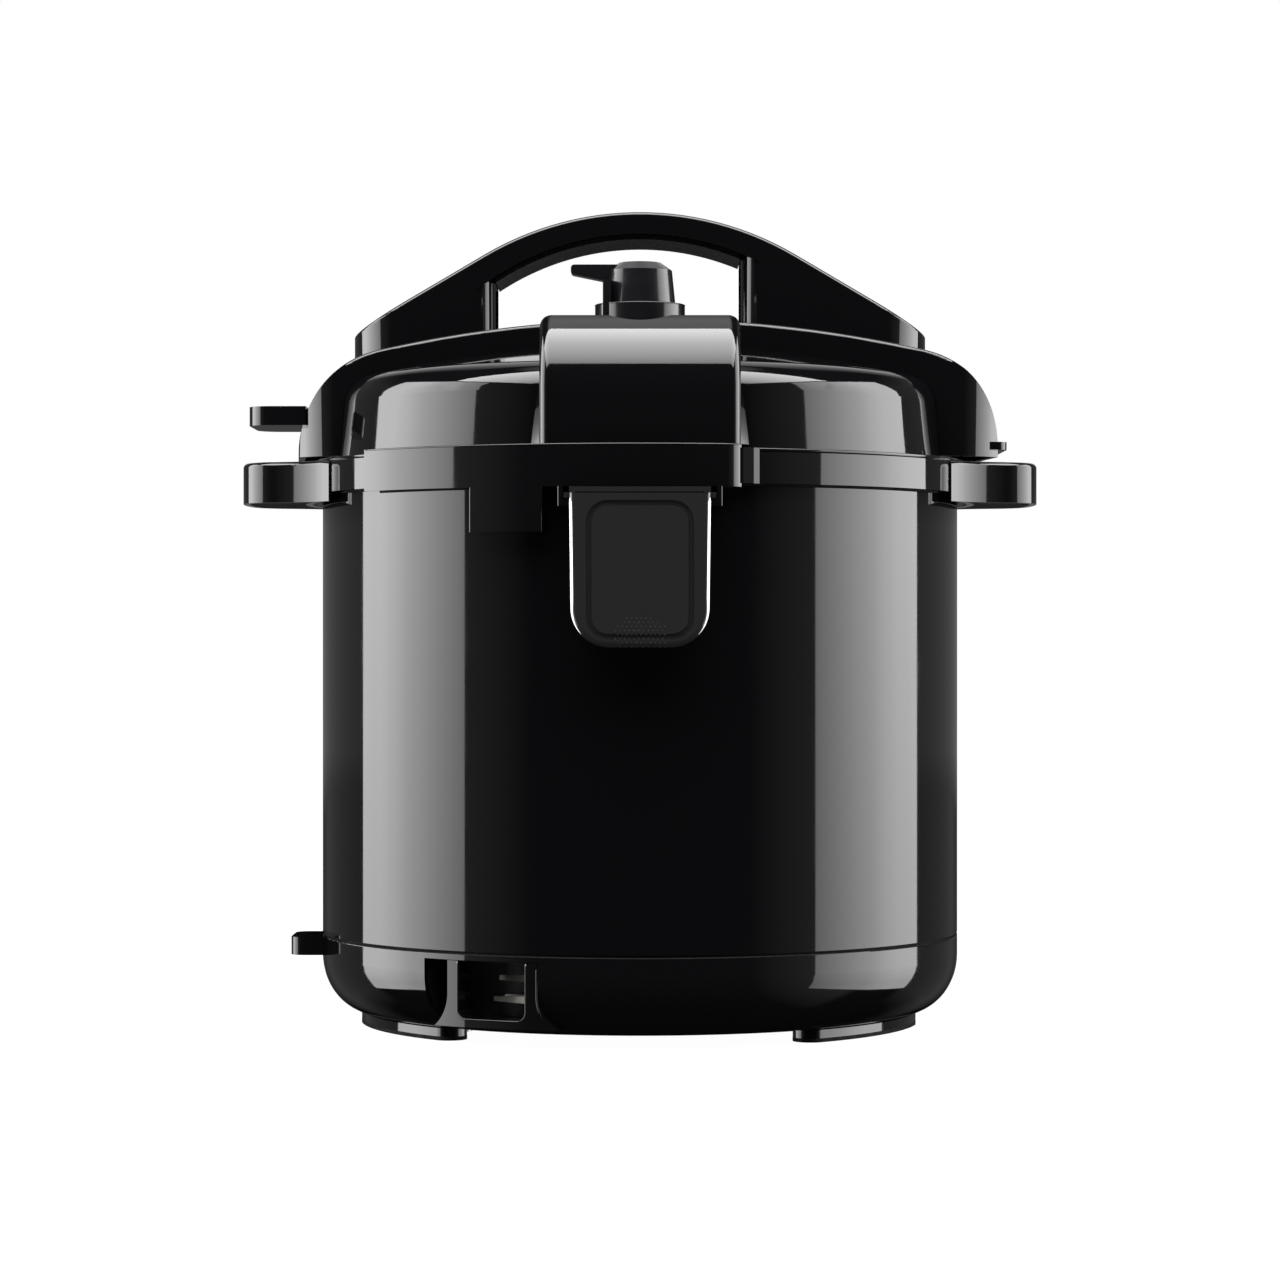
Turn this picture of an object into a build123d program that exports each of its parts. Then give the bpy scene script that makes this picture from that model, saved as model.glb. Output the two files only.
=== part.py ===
from build123d import *
from math import acos, asin, atan2, cos, degrees, radians, sin, sqrt, tan
import os

# Electric pressure cooker, in millimetres. The floor is z = 0, the Z axis is the axis of the
# body, the back of the cooker faces -Y and the control panel faces +Y.
os.makedirs("parts", exist_ok=True)

# Body, from the floor up
body_radius = 135.0
foot_height = 5.0
foot_width = 14.0
foot_setback = 16.5
foot_start_angle = 37.3
foot_span_angle = 46.7
foot_skew_angle = 2.9
foot_round = 6.8
base_height = 32.4
base_corner_across = 20.0
base_corner_up = 24.0
base_wall = 3.0
base_lip = 6.0
base_flange = 17.0
base_edge = 0.6
seam_gap = 1.0
sleeve_wall = 0.8
sleeve_lip = 8.7
rim_gap = 1.0
rim_height = 14.0
rim_overhang = 4.0
rim_wall = 2.4
rim_round = 1.2
wall_fit = 0.2

# Side handles, and the slot in each that the lid's lug stands in
handle_reach = 29.4
handle_half_depth = 55.0
handle_height = 17.0
handle_drop = 1.0
handle_corner = 18.0
handle_root = 45.0
handle_root_angle = 26.0
handle_hollow_depth = 40.0
handle_wall = 3.0
handle_rib = 2.0
handle_edge = 2.0
handle_rib_count = 5
lug_slot_play = 2.0
lug_slot_depth = 10.2

# Cover over the back of the rim, with the lid switch's housing hanging from it
cover_wall = 3.8
cover_lip = 1.3
cover_drop = 1.4
cover_start_angle = -51.0
cover_end_angle = 13.6
cover_round = 10.0
cover_turn_angle = 57.0
ramp_gap_angle = 0.25
ramp_break_angle = 1.9
ramp_span_angle = 3.0
ramp_rise = 2.1
tab_start = -28.1
tab_end = -15.6
tab_drop = 17.6
tab_wall = 2.0
tab_edge = 0.6
switch_play = 0.4

# Mains inlet in the base, and the cord hook beside it
inlet_azimuth = -26.0
inlet_half_top = 20.0
inlet_flare = 6.4
inlet_opening = 15.0
inlet_sill = 3.4
inlet_margin = 2.8
inlet_side_gap = 11.5
inlet_depth = 32.0
inlet_wall = 2.0
inlet_round = 3.5
inlet_fit = 0.25
inlet_proud = 11.5
inlet_edge = 0.6
socket_depth = 11.0
socket_height = 14.4
pin_length = 29.0
pin_width = 4.2
pin_tip = 1.8
pin_thickness = 2.0
hook_reach = 11.3
hook_depth = 33.0
hook_height = 7.5
hook_round = 6.0

# Condensation cup and the rails that it hangs in
cup_half_width = 27.3
cup_depth = 19.5
cup_height = 60.0
cup_draft = 0.8
cup_corner = 15.0
cup_wall = 1.8
cup_edge = 2.4
cup_ear = 2.2
cup_ear_depth = 12.0
cup_panel_margin = 6.5
cup_panel_trim = 3.2
cup_panel_groove = 2.1
cup_panel_depth = 0.9
cup_standoff = 1.0
rail_wall = 2.0
rail_shelf = 2.6
rail_play = 0.4
rail_edge = 0.6

# Pots and the bayonet that holds the lid
inner_lid_fit = 1.3
inner_lid_wall = 1.5
lug_count = 6
lug_reach = 5.0
lug_thickness = 2.0
lug_span_angle = 22.0
tooth_span_angle = 28.0
tooth_thickness = 2.0
tooth_drop = 5.5
bayonet_play = 0.8
lug_play = 1.0
outer_pot_wall = 1.2
outer_pot_flange = 1.2
outer_pot_ledge = 4.2
inner_pot_wall = 0.9
inner_pot_gap = 1.2
inner_pot_round = 8.0
pot_rim_thickness = 1.2
pot_depth = 159.8
pot_bay = 23.8
heater_thickness = 8.0
heater_setback = 8.5
heater_hole = 16.0
element_radius = 4.5
element_gap = 7.6
element_sink = 1.5
support_height = 6.8
support_radius = 5.0
support_count = 3

# Sensor, switches and boards inside the base
sensor_radius = 13.0
sensor_cap = 4.0
sensor_stem = 6.0
sensor_round = 1.5
sensor_travel = 2.0
sensor_fit = 0.3
bracket_radius = 28.0
bracket_hole = 22.0
bracket_thickness = 1.2
guide_wall = 1.8
guide_length = 10.0
spring_radius = 9.5
spring_wire = 0.6
spring_turns = 4
switch_length = 26.0
switch_width = 18.0
switch_height = 13.0
switch_place = 48.0
switch_round = 2.0
board_length = 104.0
board_width = 62.0
board_thickness = 1.6
board_back = 12.0
post_height = 14.0
post_radius = 3.0
relay_size = 19.0
capacitor_radius = 7.0
transformer_height = 24.0
plate_thickness = 1.2
plate_fit = 1.0
vent_length = 26.0
vent_width = 3.0
vent_gap = 13.0
vent_count = 5
vent_pitch = 9.0
screw_count = 4
screw_start_angle = 45.0
screw_radius = 1.5
screw_head = 3.2
screw_head_height = 1.5
screw_play = 0.2

# Control panel on the front
panel_half_width = 62.0
panel_height = 146.0
panel_lift = 22.0
panel_thickness = 5.8
panel_corner = 12.0
panel_edge = 2.0
window_half_width = 42.0
window_height = 34.0
window_drop = 14.0
window_corner = 5.0
key_width = 27.0
key_height = 13.0
key_corner = 4.0
key_pitch_x = 36.0
key_pitch_z = 24.0
key_columns = 3
key_lift = 42.0
key_proud = 0.9
key_travel = 0.8
key_fit = 0.35
key_reach = 7.5
key_gap = 0.2
control_board_half_width = 49.0
control_board_setback = 11.4
control_post_x = 46.0
tact_size = 6.0

# Lid, measured from the rim
lid_gap = 0.4
lid_inset = 5.0
skirt_draft = 2.8
dome_rise = 47.5
dome_arc = 520.0
shoulder_round = 13.0
shell_wall = 1.2
seat = 0.1
plateau_setback = 22.0
plateau_rise = 16.7
plateau_slope = 5.0
ring_height = 12.0
ring_lip = 2.0
ring_web = 3.0
ring_reach = 13.0
ring_top_reach = 9.1
ring_gap = 0.3
rack_wall = 2.0
rack_wire = 2.4
rack_reach = 5.0

# Crown band across the lid, its lug and fin, and the tongue at the back
crown_overhang = 8.05
crown_shift = 1.5
crown_lean = 6.05
crown_half_depth = 34.0
crown_rise = 57.3
crown_arc = 514.0
crown_end = 3.8
crown_tip_round = 28.0
crown_tip_turn = 57.0
crown_edge = 1.5
crown_wall = 3.0
crown_pocket = 12.0
lug_plate_reach = 17.95
lug_plate_half_depth = 26.0
lug_plate_thickness = 8.0
lug_plate_lift = 13.3
lug_plate_round = 10.0
fin_reach = 7.45
fin_thickness = 3.3
fin_lift = 3.0
tongue_half_width = 39.6
tongue_proud = 3.0
tongue_arc = 38.0
tongue_tilt = 36.0
tongue_slope = 5.8
tongue_edge = 4.5
tongue_flare = 4.3
tongue_flare_depth = 7.5
tongue_flare_height = 25.0
well_radius = 30.0
well_depth = 4.2
valve_setback = 40.0

# Arched handle on the crown
grip_setback = 25.35
grip_half_depth = 24.0
grip_peak = 45.9
grip_arc = 129.0
grip_slope = 30.5
grip_left = 61.0
grip_right = 42.5
grip_thickness = 9.3
grip_under_arc = 111.8
grip_post_round = 9.0
grip_edge = 1.5
insert_thickness = 2.0
insert_setback = 3.0
insert_play = 0.3

# Steam valve, its pipe and shield, and the float valve
valve_radius = 18.1
valve_flange = 10.0
valve_cone = 14.3
valve_cone_top = 12.6
valve_height = 27.0
valve_bevel = 4.2
valve_bevel_height = 3.2
valve_gap = 0.5
valve_bore_fit = 0.3
lever_reach = 27.8
lever_width = 8.0
lever_thickness = 3.8
lever_root = 6.8
lever_round = 1.4
lever_drop = 0.9
web_place = 13.2
web_thickness = 3.3
web_width = 26.6
pipe_radius = 5.4
pipe_bore = 3.0
pipe_flange = 9.0
pipe_flange_height = 2.5
pipe_nut_height = 4.0
pipe_above = 16.0
shield_gap = 0.6
shield_wall = 1.4
shield_height = 16.0
shield_slots = 8
shield_slot_width = 2.0
shield_slot_height = 5.3
float_place = 22.0
float_radius = 2.8
float_fit = 0.3
float_lift = 6.0
float_round = 0.8
float_head = 6.0
float_head_height = 4.0
float_seal_height = 2.7
guide_bush_wall = 2.2
guide_bush_height = 9.0
guide_bush_flange = 1.5
crown_screw_setback = 38.0
crown_screw_y = 20.0
crown_screw_length = 8.0

# Heights and radii that follow
base_bottom = foot_height
base_top = base_bottom + base_height
sleeve_bottom = base_top + seam_gap
sleeve_height = pot_depth + pot_bay
sleeve_top = sleeve_bottom + sleeve_height
rim_bottom = sleeve_top + rim_gap
rim_top = rim_bottom + rim_height
rim_radius = body_radius + rim_overhang
sleeve_bore = body_radius - sleeve_wall
cover_bore = rim_radius + wall_fit
cover_radius = cover_bore + cover_wall
cover_top = rim_top + cover_lip
cover_bottom = rim_bottom - cover_drop
skirt_bottom = rim_top + lid_gap
lid_bottom = cover_top + lid_gap
lid_radius = body_radius - lid_inset
dome_top = lid_bottom + dome_rise
inner_lid_radius = lid_radius - shell_wall - inner_lid_fit
inner_lid_bore = inner_lid_radius - inner_lid_wall
rim_bore = inner_lid_radius + bayonet_play
lug_radius = inner_lid_bore - lug_reach
tooth_radius = inner_lid_bore - bayonet_play
tooth_root = lug_radius - bayonet_play
tooth_top = rim_top - tooth_drop
lug_top = tooth_top - tooth_thickness - lug_play
lug_bottom = lug_top - lug_thickness
outer_pot_radius = tooth_root - outer_pot_ledge
outer_pot_bore = outer_pot_radius - outer_pot_wall
inner_pot_radius = outer_pot_bore - inner_pot_gap
inner_pot_bore = inner_pot_radius - inner_pot_wall
pot_rim_bottom = tooth_top + ring_gap
pot_rim_top = pot_rim_bottom + pot_rim_thickness
pot_floor = pot_rim_top - pot_depth
pot_bottom = pot_floor - inner_pot_wall
heater_bottom = pot_bottom - heater_thickness
outer_pot_floor = heater_bottom - support_height
outer_pot_bottom = outer_pot_floor - outer_pot_wall
ring_bottom = pot_rim_top + ring_gap
ring_radius = inner_lid_bore - ring_gap
ring_top = ring_bottom + ring_height
inner_lid_under = ring_top + ring_gap
plateau_under = inner_lid_under + plateau_rise
plateau_top = plateau_under + inner_lid_wall
plateau_radius = inner_lid_bore - plateau_setback
valve_place = lid_radius - valve_setback
tongue_reach = lid_radius + tongue_proud
crown_span = rim_radius + crown_overhang
crown_screw_x = lid_radius - crown_screw_setback
crown_top = lid_bottom + crown_rise
crown_centre = crown_top - crown_arc
grip_span = crown_span - grip_setback
panel_bottom = sleeve_bottom + panel_lift
panel_middle = panel_bottom + panel_height / 2
panel_bore = body_radius + wall_fit
panel_radius = panel_bore + panel_thickness
control_board_front = sleeve_bore - control_board_setback
opening_top = crown_top + grip_peak - grip_thickness
well_floor = crown_top - tongue_slope - well_depth

# Planes that look straight at the front and at the inlet
front = Plane(origin=(0, 0, panel_middle), x_dir=(-1, 0, 0), z_dir=(0, 1, 0))
outward = (sin(radians(inlet_azimuth)), -cos(radians(inlet_azimuth)), 0)
inlet_plane = Plane(
    origin=(0, 0, 0),
    x_dir=(-outward[1], outward[0], 0),
    z_dir=outward,
)


def from_back(azimuth):
    """Angle about Z, from +X, of an azimuth counted from the back towards +X."""
    return azimuth - 90


def at_azimuth(radius, azimuth):
    """Point in plan at a radius and an azimuth counted from the back towards +X."""
    turn = radians(azimuth)
    return radius * sin(turn), -radius * cos(turn)


def ring_sector(inner, outer, start, span):
    """Flat sector of a ring about the body axis."""
    with BuildSketch() as face:
        with BuildLine():
            rim = CenterArc((0, 0), outer, start, span)
            bore = CenterArc((0, 0), inner, start, span)
            Line(rim @ 0, bore @ 0)
            Line(rim @ 1, bore @ 1)
        make_face()
    return face.sketch


def dome_section(inset):
    """Half section of the lid's dome, drawn in all round and closed at the lid's lower edge."""
    radius = lid_radius - inset
    arc = dome_arc - inset
    centre = dome_top - dome_arc
    corner = radius - skirt_draft
    reach = degrees(asin(corner / arc))
    with BuildSketch(Plane.XZ) as section:
        with BuildLine():
            crest = CenterArc((0, centre), arc, 90 - reach, reach)
            Polyline(crest @ 1, (0, skirt_bottom), (radius, skirt_bottom), crest @ 0)
        make_face()
        shoulder = section.vertices().sort_by_distance(crest @ 0)[0]
        fillet(shoulder, radius=shoulder_round - inset)
    return section.sketch


def base_section(inset, top):
    """Half section of the base ring's outside, drawn in by a wall and filled to the axis."""
    across = base_corner_across - inset
    up = base_corner_up - inset
    corner = (body_radius - base_corner_across, base_bottom + base_corner_up)
    with BuildSketch(Plane.XZ) as section:
        with BuildLine():
            curve = EllipticalCenterArc(corner, across, up, start_angle=270, arc_size=90)
            Polyline(
                curve @ 0,
                (0, base_bottom + inset),
                (0, top),
                (body_radius - inset, top),
                curve @ 1,
            )
        make_face()
    return section.sketch


def polar(radius, angle):
    """Point in plan at a radius and an angle about Z, from +X."""
    return radius * cos(radians(angle)), radius * sin(radians(angle))


handle_end = rim_radius + handle_reach
root_span = rim_radius + handle_root
corner_span = handle_end - handle_corner
root_to_corner = handle_root + handle_corner
corner_cosine = (root_span**2 + corner_span**2 - root_to_corner**2) / (2 * root_span * corner_span)
corner_angle = handle_root_angle - degrees(acos(corner_cosine))
root_centre = polar(root_span, handle_root_angle)
corner_centre = polar(corner_span, corner_angle)
side_turn = degrees(atan2(root_centre[1] - corner_centre[1], root_centre[0] - corner_centre[0]))


def handle_outline(grow, half):
    """Plan of a side handle at +X: round end and corners, and hollow roots cut off beside the rim."""
    with BuildSketch() as plan:
        with BuildLine():
            end = CenterArc((0, 0), handle_end + grow, 0, corner_angle)
            CenterArc(corner_centre, handle_corner + grow, corner_angle, side_turn - corner_angle)
            hollow = CenterArc(
                root_centre,
                handle_root - grow,
                180 + side_turn,
                handle_root_angle - side_turn,
            )
            Polyline(hollow @ 1, (0, 0), end @ 0)
        make_face()
        mirror(about=Plane.XZ)
        Rectangle(4 * handle_end, 2 * half, mode=Mode.INTERSECT)
    return plan.sketch


# Base ring: the moulded bottom of the body, open below, with a lip that the sleeve slips over
base_body = revolve(base_section(0, base_top), Axis.Z)
base_void = revolve(base_section(base_wall, base_top + base_lip + base_wall), Axis.Z)
base_mouth = body_radius - base_corner_across - base_flange
lip_radius = sleeve_bore - wall_fit
inlet_top = base_height - inlet_margin + base_bottom
inlet_bottom = base_bottom + inlet_sill


def bell(grow, extra):
    """Bell-bottomed front of the mains inlet, with more room on its left for the plug."""
    half = inlet_half_top + grow
    foot = half + inlet_flare
    low = inlet_bottom - grow
    high = inlet_top + grow
    knee = (low + high) / 2
    with BuildSketch(inlet_plane) as face:
        with BuildLine():
            right = TangentArc((half, knee), (foot, low), tangent=(0, -1))
            Polyline(right @ 0, (half, high), (-half - extra, high), (-half - extra, knee))
            left = TangentArc((-half - extra, knee), (-foot, low), tangent=(0, -1))
            Line(left @ 1, right @ 1)
        make_face()
    return face.sketch


with BuildPart() as base_ring:
    add(base_body)
    fillet(edges().filter_by(GeomType.CIRCLE).group_by(Axis.Z)[-1], radius=base_edge)
    with BuildSketch(Plane.XY.offset(base_top)):
        Circle(lip_radius)
    extrude(amount=base_lip)
    add(base_void, mode=Mode.SUBTRACT)
    with BuildSketch(Plane.XY.offset(base_bottom)):
        Circle(base_mouth)
    extrude(amount=base_wall, mode=Mode.SUBTRACT)
    extrude(bell(inlet_fit, inlet_side_gap), amount=cover_radius, mode=Mode.SUBTRACT)
    with BuildSketch(Plane.XY.offset(base_top - hook_height)):
        with Locations((-body_radius + base_wall, -hook_depth / 2)):
            Rectangle(2 * (hook_reach + base_wall), hook_depth)
        fillet(vertices().group_by(Axis.X)[0], radius=hook_round)
        Circle(body_radius - base_wall / 2, mode=Mode.SUBTRACT)
    extrude(amount=hook_height)
    with BuildSketch(Plane.XY.offset(base_bottom)):
        with PolarLocations(base_mouth + screw_head, screw_count, start_angle=screw_start_angle):
            Circle(screw_radius + screw_play)
    extrude(amount=base_wall, mode=Mode.SUBTRACT)
base_ring.part.label = "base_ring"
export_step(base_ring.part, "parts/base_ring.step")

# Mains inlet: an upright bell-shaped frame that stands out of the base's round corner, a tray
# behind it and the pins inside
with BuildPart() as inlet_frame:
    with BuildSketch():
        Circle(body_radius)
        Circle(body_radius - inlet_proud, mode=Mode.SUBTRACT)
    extrude(amount=base_top)
    extrude(bell(0, 0), amount=cover_radius, mode=Mode.INTERSECT)
    with BuildSketch(inlet_plane):
        with Locations((0, inlet_bottom + inlet_sill)):
            Rectangle(
                2 * inlet_opening,
                2 * base_height,
                align=(Align.CENTER, Align.MIN),
            )
        fillet(vertices().group_by(Axis.Y)[0], radius=inlet_round)
    extrude(amount=cover_radius, mode=Mode.SUBTRACT)
    outside = faces().filter_by(GeomType.CYLINDER).sort_by(SortBy.AREA)[-1]
    fillet(outside.edges(), radius=inlet_edge)
inlet_frame.part.label = "inlet_frame"
export_step(inlet_frame.part, "parts/inlet_frame.step")

tray_half = inlet_half_top + inlet_side_gap + inlet_wall
tray_back = body_radius - inlet_depth
tray_low = base_bottom + base_wall
tray_high = inlet_top + inlet_wall
tray_room = revolve(base_section(base_wall + wall_fit, base_top), Axis.Z)
with BuildPart() as inlet_tray:
    with BuildSketch(inlet_plane.offset(tray_back - inlet_wall)):
        with Locations((0, (tray_low + tray_high) / 2)):
            Rectangle(2 * tray_half, tray_high - tray_low)
    extrude(amount=inlet_depth + inlet_wall)
    add(tray_room, mode=Mode.INTERSECT)
    with BuildSketch(inlet_plane.offset(tray_back)):
        with Locations((0, (tray_low + tray_high) / 2)):
            Rectangle(
                2 * (tray_half - inlet_wall),
                tray_high - tray_low - 2 * inlet_wall,
            )
    extrude(amount=inlet_depth, mode=Mode.SUBTRACT)
inlet_tray.part.label = "inlet_tray"
export_step(inlet_tray.part, "parts/inlet_tray.step")

socket_side = tray_half - inlet_wall - socket_depth
socket_middle = (tray_low + tray_high) / 2
socket_half = (tray_high - tray_low) / 2 - inlet_wall
with BuildPart() as inlet_socket:
    with BuildSketch(inlet_plane.offset(tray_back)):
        with Locations((socket_side, socket_middle)):
            Rectangle(socket_depth, 2 * socket_half, align=(Align.MIN, Align.CENTER))
    extrude(amount=socket_height)
inlet_socket.part.label = "inlet_socket"
export_step(inlet_socket.part, "parts/inlet_socket.step")

pin_spread = socket_height / 3
pin_drop = (socket_half - pin_width) / 2
with BuildPart() as inlet_pins:
    for step, rise in ((-1, -1), (0, 1), (1, -1)):
        depth = tray_back + (socket_height - pin_thickness) / 2 + step * pin_spread
        with BuildSketch(inlet_plane.offset(depth)):
            with Locations((socket_side, socket_middle + rise * pin_drop)):
                Polygon(
                    (0, -pin_width / 2),
                    (0, pin_width / 2),
                    (-pin_length, pin_tip / 2),
                    (-pin_length, -pin_tip / 2),
                    align=None,
                )
        extrude(amount=pin_thickness)
inlet_pins.part.label = "inlet_pins"
export_step(inlet_pins.part, "parts/inlet_pins.step")

# Feet: four curved pads under the base ring
foot_outer = body_radius - foot_setback
with BuildPart() as feet:
    for side in (-1, 1):
        for middle in (-90, 90):
            inner_end = middle - foot_skew_angle + side * foot_start_angle
            start = inner_end - (foot_span_angle if side < 0 else 0)
            with BuildSketch():
                add(ring_sector(foot_outer - foot_width, foot_outer, start, foot_span_angle))
                fillet(vertices(), radius=foot_round)
            extrude(amount=foot_height)
feet.part.label = "feet"
export_step(feet.part, "parts/feet.step")

# Bottom plate: pressed sheet that closes the base, with vents and the posts of the power board
plate_radius = foot_outer - foot_width - plate_fit
board_middle = board_back + board_width / 2
post_x = board_length / 2 - 2 * post_radius
post_y = board_width / 2 - 2 * post_radius
board_bottom = base_bottom + post_height
with BuildPart() as bottom_plate:
    with BuildSketch(Plane.XY.offset(base_bottom - plate_thickness)):
        Circle(plate_radius)
        with Locations((0, -plate_radius / 2)):
            with GridLocations(vent_length + vent_gap, vent_pitch, 2, vent_count):
                SlotOverall(vent_length, vent_width, mode=Mode.SUBTRACT)
        with PolarLocations(base_mouth + screw_head, screw_count, start_angle=screw_start_angle):
            Circle(screw_radius + screw_play, mode=Mode.SUBTRACT)
    extrude(amount=plate_thickness)
    with BuildSketch(Plane.XY.offset(base_bottom)):
        with Locations((0, board_middle)):
            with GridLocations(2 * post_x, 2 * post_y, 2, 2):
                Circle(post_radius)
    extrude(amount=post_height)
bottom_plate.part.label = "bottom_plate"
export_step(bottom_plate.part, "parts/bottom_plate.step")

with BuildPart() as base_screws:
    screw_seat = base_bottom - plate_thickness
    with PolarLocations(base_mouth + screw_head, screw_count, start_angle=screw_start_angle):
        with Locations((0, 0, screw_seat - screw_head_height)):
            Cylinder(screw_head, screw_head_height, align=(Align.CENTER, Align.CENTER, Align.MIN))
            Cylinder(
                screw_radius,
                screw_head_height + plate_thickness + base_wall,
                align=(Align.CENTER, Align.CENTER, Align.MIN),
            )
base_screws.part.label = "base_screws"
export_step(base_screws.part, "parts/base_screws.step")

# Power board on its posts, with relay, capacitor and transformer
board_top = board_bottom + board_thickness
with BuildPart() as power_board:
    with BuildSketch(Plane.XY.offset(board_bottom)):
        with Locations((0, board_middle)):
            Rectangle(board_length, board_width)
    extrude(amount=board_thickness)
    with BuildSketch(Plane.XY.offset(board_top)):
        with Locations((-board_length / 4, board_middle)):
            Rectangle(relay_size, relay_size)
    extrude(amount=relay_size)
    with BuildSketch(Plane.XY.offset(board_top)):
        with Locations((board_length / 4, board_middle)):
            Rectangle(transformer_height, transformer_height)
    extrude(amount=transformer_height)
    with BuildSketch(Plane.XY.offset(board_top)):
        with Locations((0, board_middle)):
            Circle(capacitor_radius)
    extrude(amount=transformer_height)
power_board.part.label = "power_board"
export_step(power_board.part, "parts/power_board.step")

# Sleeve: the steel side of the body, rolled in at the top, with a window behind the panel
window_x = panel_half_width - panel_corner
window_z = panel_height / 2 - panel_corner
with BuildPart() as housing_sleeve:
    with BuildSketch(Plane.XY.offset(sleeve_bottom)):
        Circle(body_radius)
    extrude(amount=sleeve_height)
    with BuildSketch(Plane.XY.offset(sleeve_bottom)):
        Circle(sleeve_bore)
    extrude(amount=sleeve_height - sleeve_wall, mode=Mode.SUBTRACT)
    with BuildSketch(Plane.XY.offset(sleeve_top)):
        Circle(sleeve_bore - sleeve_lip)
    extrude(amount=-2 * sleeve_wall, mode=Mode.SUBTRACT)
    with BuildSketch(front):
        Rectangle(2 * window_x, 2 * window_z)
    extrude(amount=cover_radius, mode=Mode.SUBTRACT)
housing_sleeve.part.label = "housing_sleeve"
export_step(housing_sleeve.part, "parts/housing_sleeve.step")

# Rim: an upturned channel round the top of the body, standing on the sleeve's rolled edge
with BuildPart() as rim_ring:
    with BuildSketch(Plane.XZ):
        with BuildLine():
            Polyline(
                (rim_bore, sleeve_top),
                (rim_bore, rim_top),
                (rim_radius, rim_top),
                (rim_radius, rim_bottom),
                (rim_radius - rim_wall, rim_bottom),
                (rim_radius - rim_wall, rim_top - rim_wall),
                (rim_bore + rim_wall, rim_top - rim_wall),
                (rim_bore + rim_wall, sleeve_top),
                close=True,
            )
        make_face()
    revolve(axis=Axis.Z)
    fillet(edges().filter_by(GeomType.CIRCLE).group_by(Axis.Z)[-1].sort_by(SortBy.RADIUS)[-1], rim_round)
rim_ring.part.label = "rim_ring"
export_step(rim_ring.part, "parts/rim_ring.step")

# Side handles: moulded grips open below, with ribs and a slot on top for the lid's lug
handle_top = rim_top - handle_drop
handle_bottom = handle_top - handle_height
slot_width = lug_plate_thickness + lug_slot_play
slot_length = 2 * (lug_plate_half_depth + lug_slot_play)
slot_middle = (rim_radius + handle_end) / 2
rib_pitch = 2 * handle_hollow_depth / (handle_rib_count + 1)
handle_plan = handle_outline(0, handle_half_depth)
handle_inside = handle_outline(-handle_wall, handle_hollow_depth)
for side, name in ((1, "right_handle"), (-1, "left_handle")):
    with BuildPart() as side_handle:
        with BuildSketch(Plane.XY.offset(handle_bottom)):
            add(handle_plan)
        extrude(amount=handle_height)
        top_edges = edges().group_by(Axis.Z)[-1]
        fillet(top_edges.filter_by(lambda e: e.center().X > rim_radius), handle_edge)
        with BuildSketch(Plane.XY.offset(handle_bottom)):
            add(handle_inside)
            Circle(rim_radius + handle_wall, mode=Mode.SUBTRACT)
            with GridLocations(0, rib_pitch, 1, handle_rib_count):
                Rectangle(3 * rim_radius, handle_rib, mode=Mode.SUBTRACT)
        extrude(amount=handle_height - handle_wall, mode=Mode.SUBTRACT)
        with BuildSketch(Plane.XY.offset(handle_top)):
            with Locations((slot_middle, 0)):
                SlotOverall(slot_length, slot_width, rotation=90)
        extrude(amount=-lug_slot_depth, mode=Mode.SUBTRACT)
        with BuildSketch(Plane.XY.offset(handle_bottom)):
            Circle(rim_radius + seat)
        extrude(amount=handle_height, mode=Mode.SUBTRACT)
    handle = side_handle.part if side > 0 else side_handle.part.rotate(Axis.Z, 180)
    handle.label = name
    export_step(handle, f"parts/{name}.step")

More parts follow.
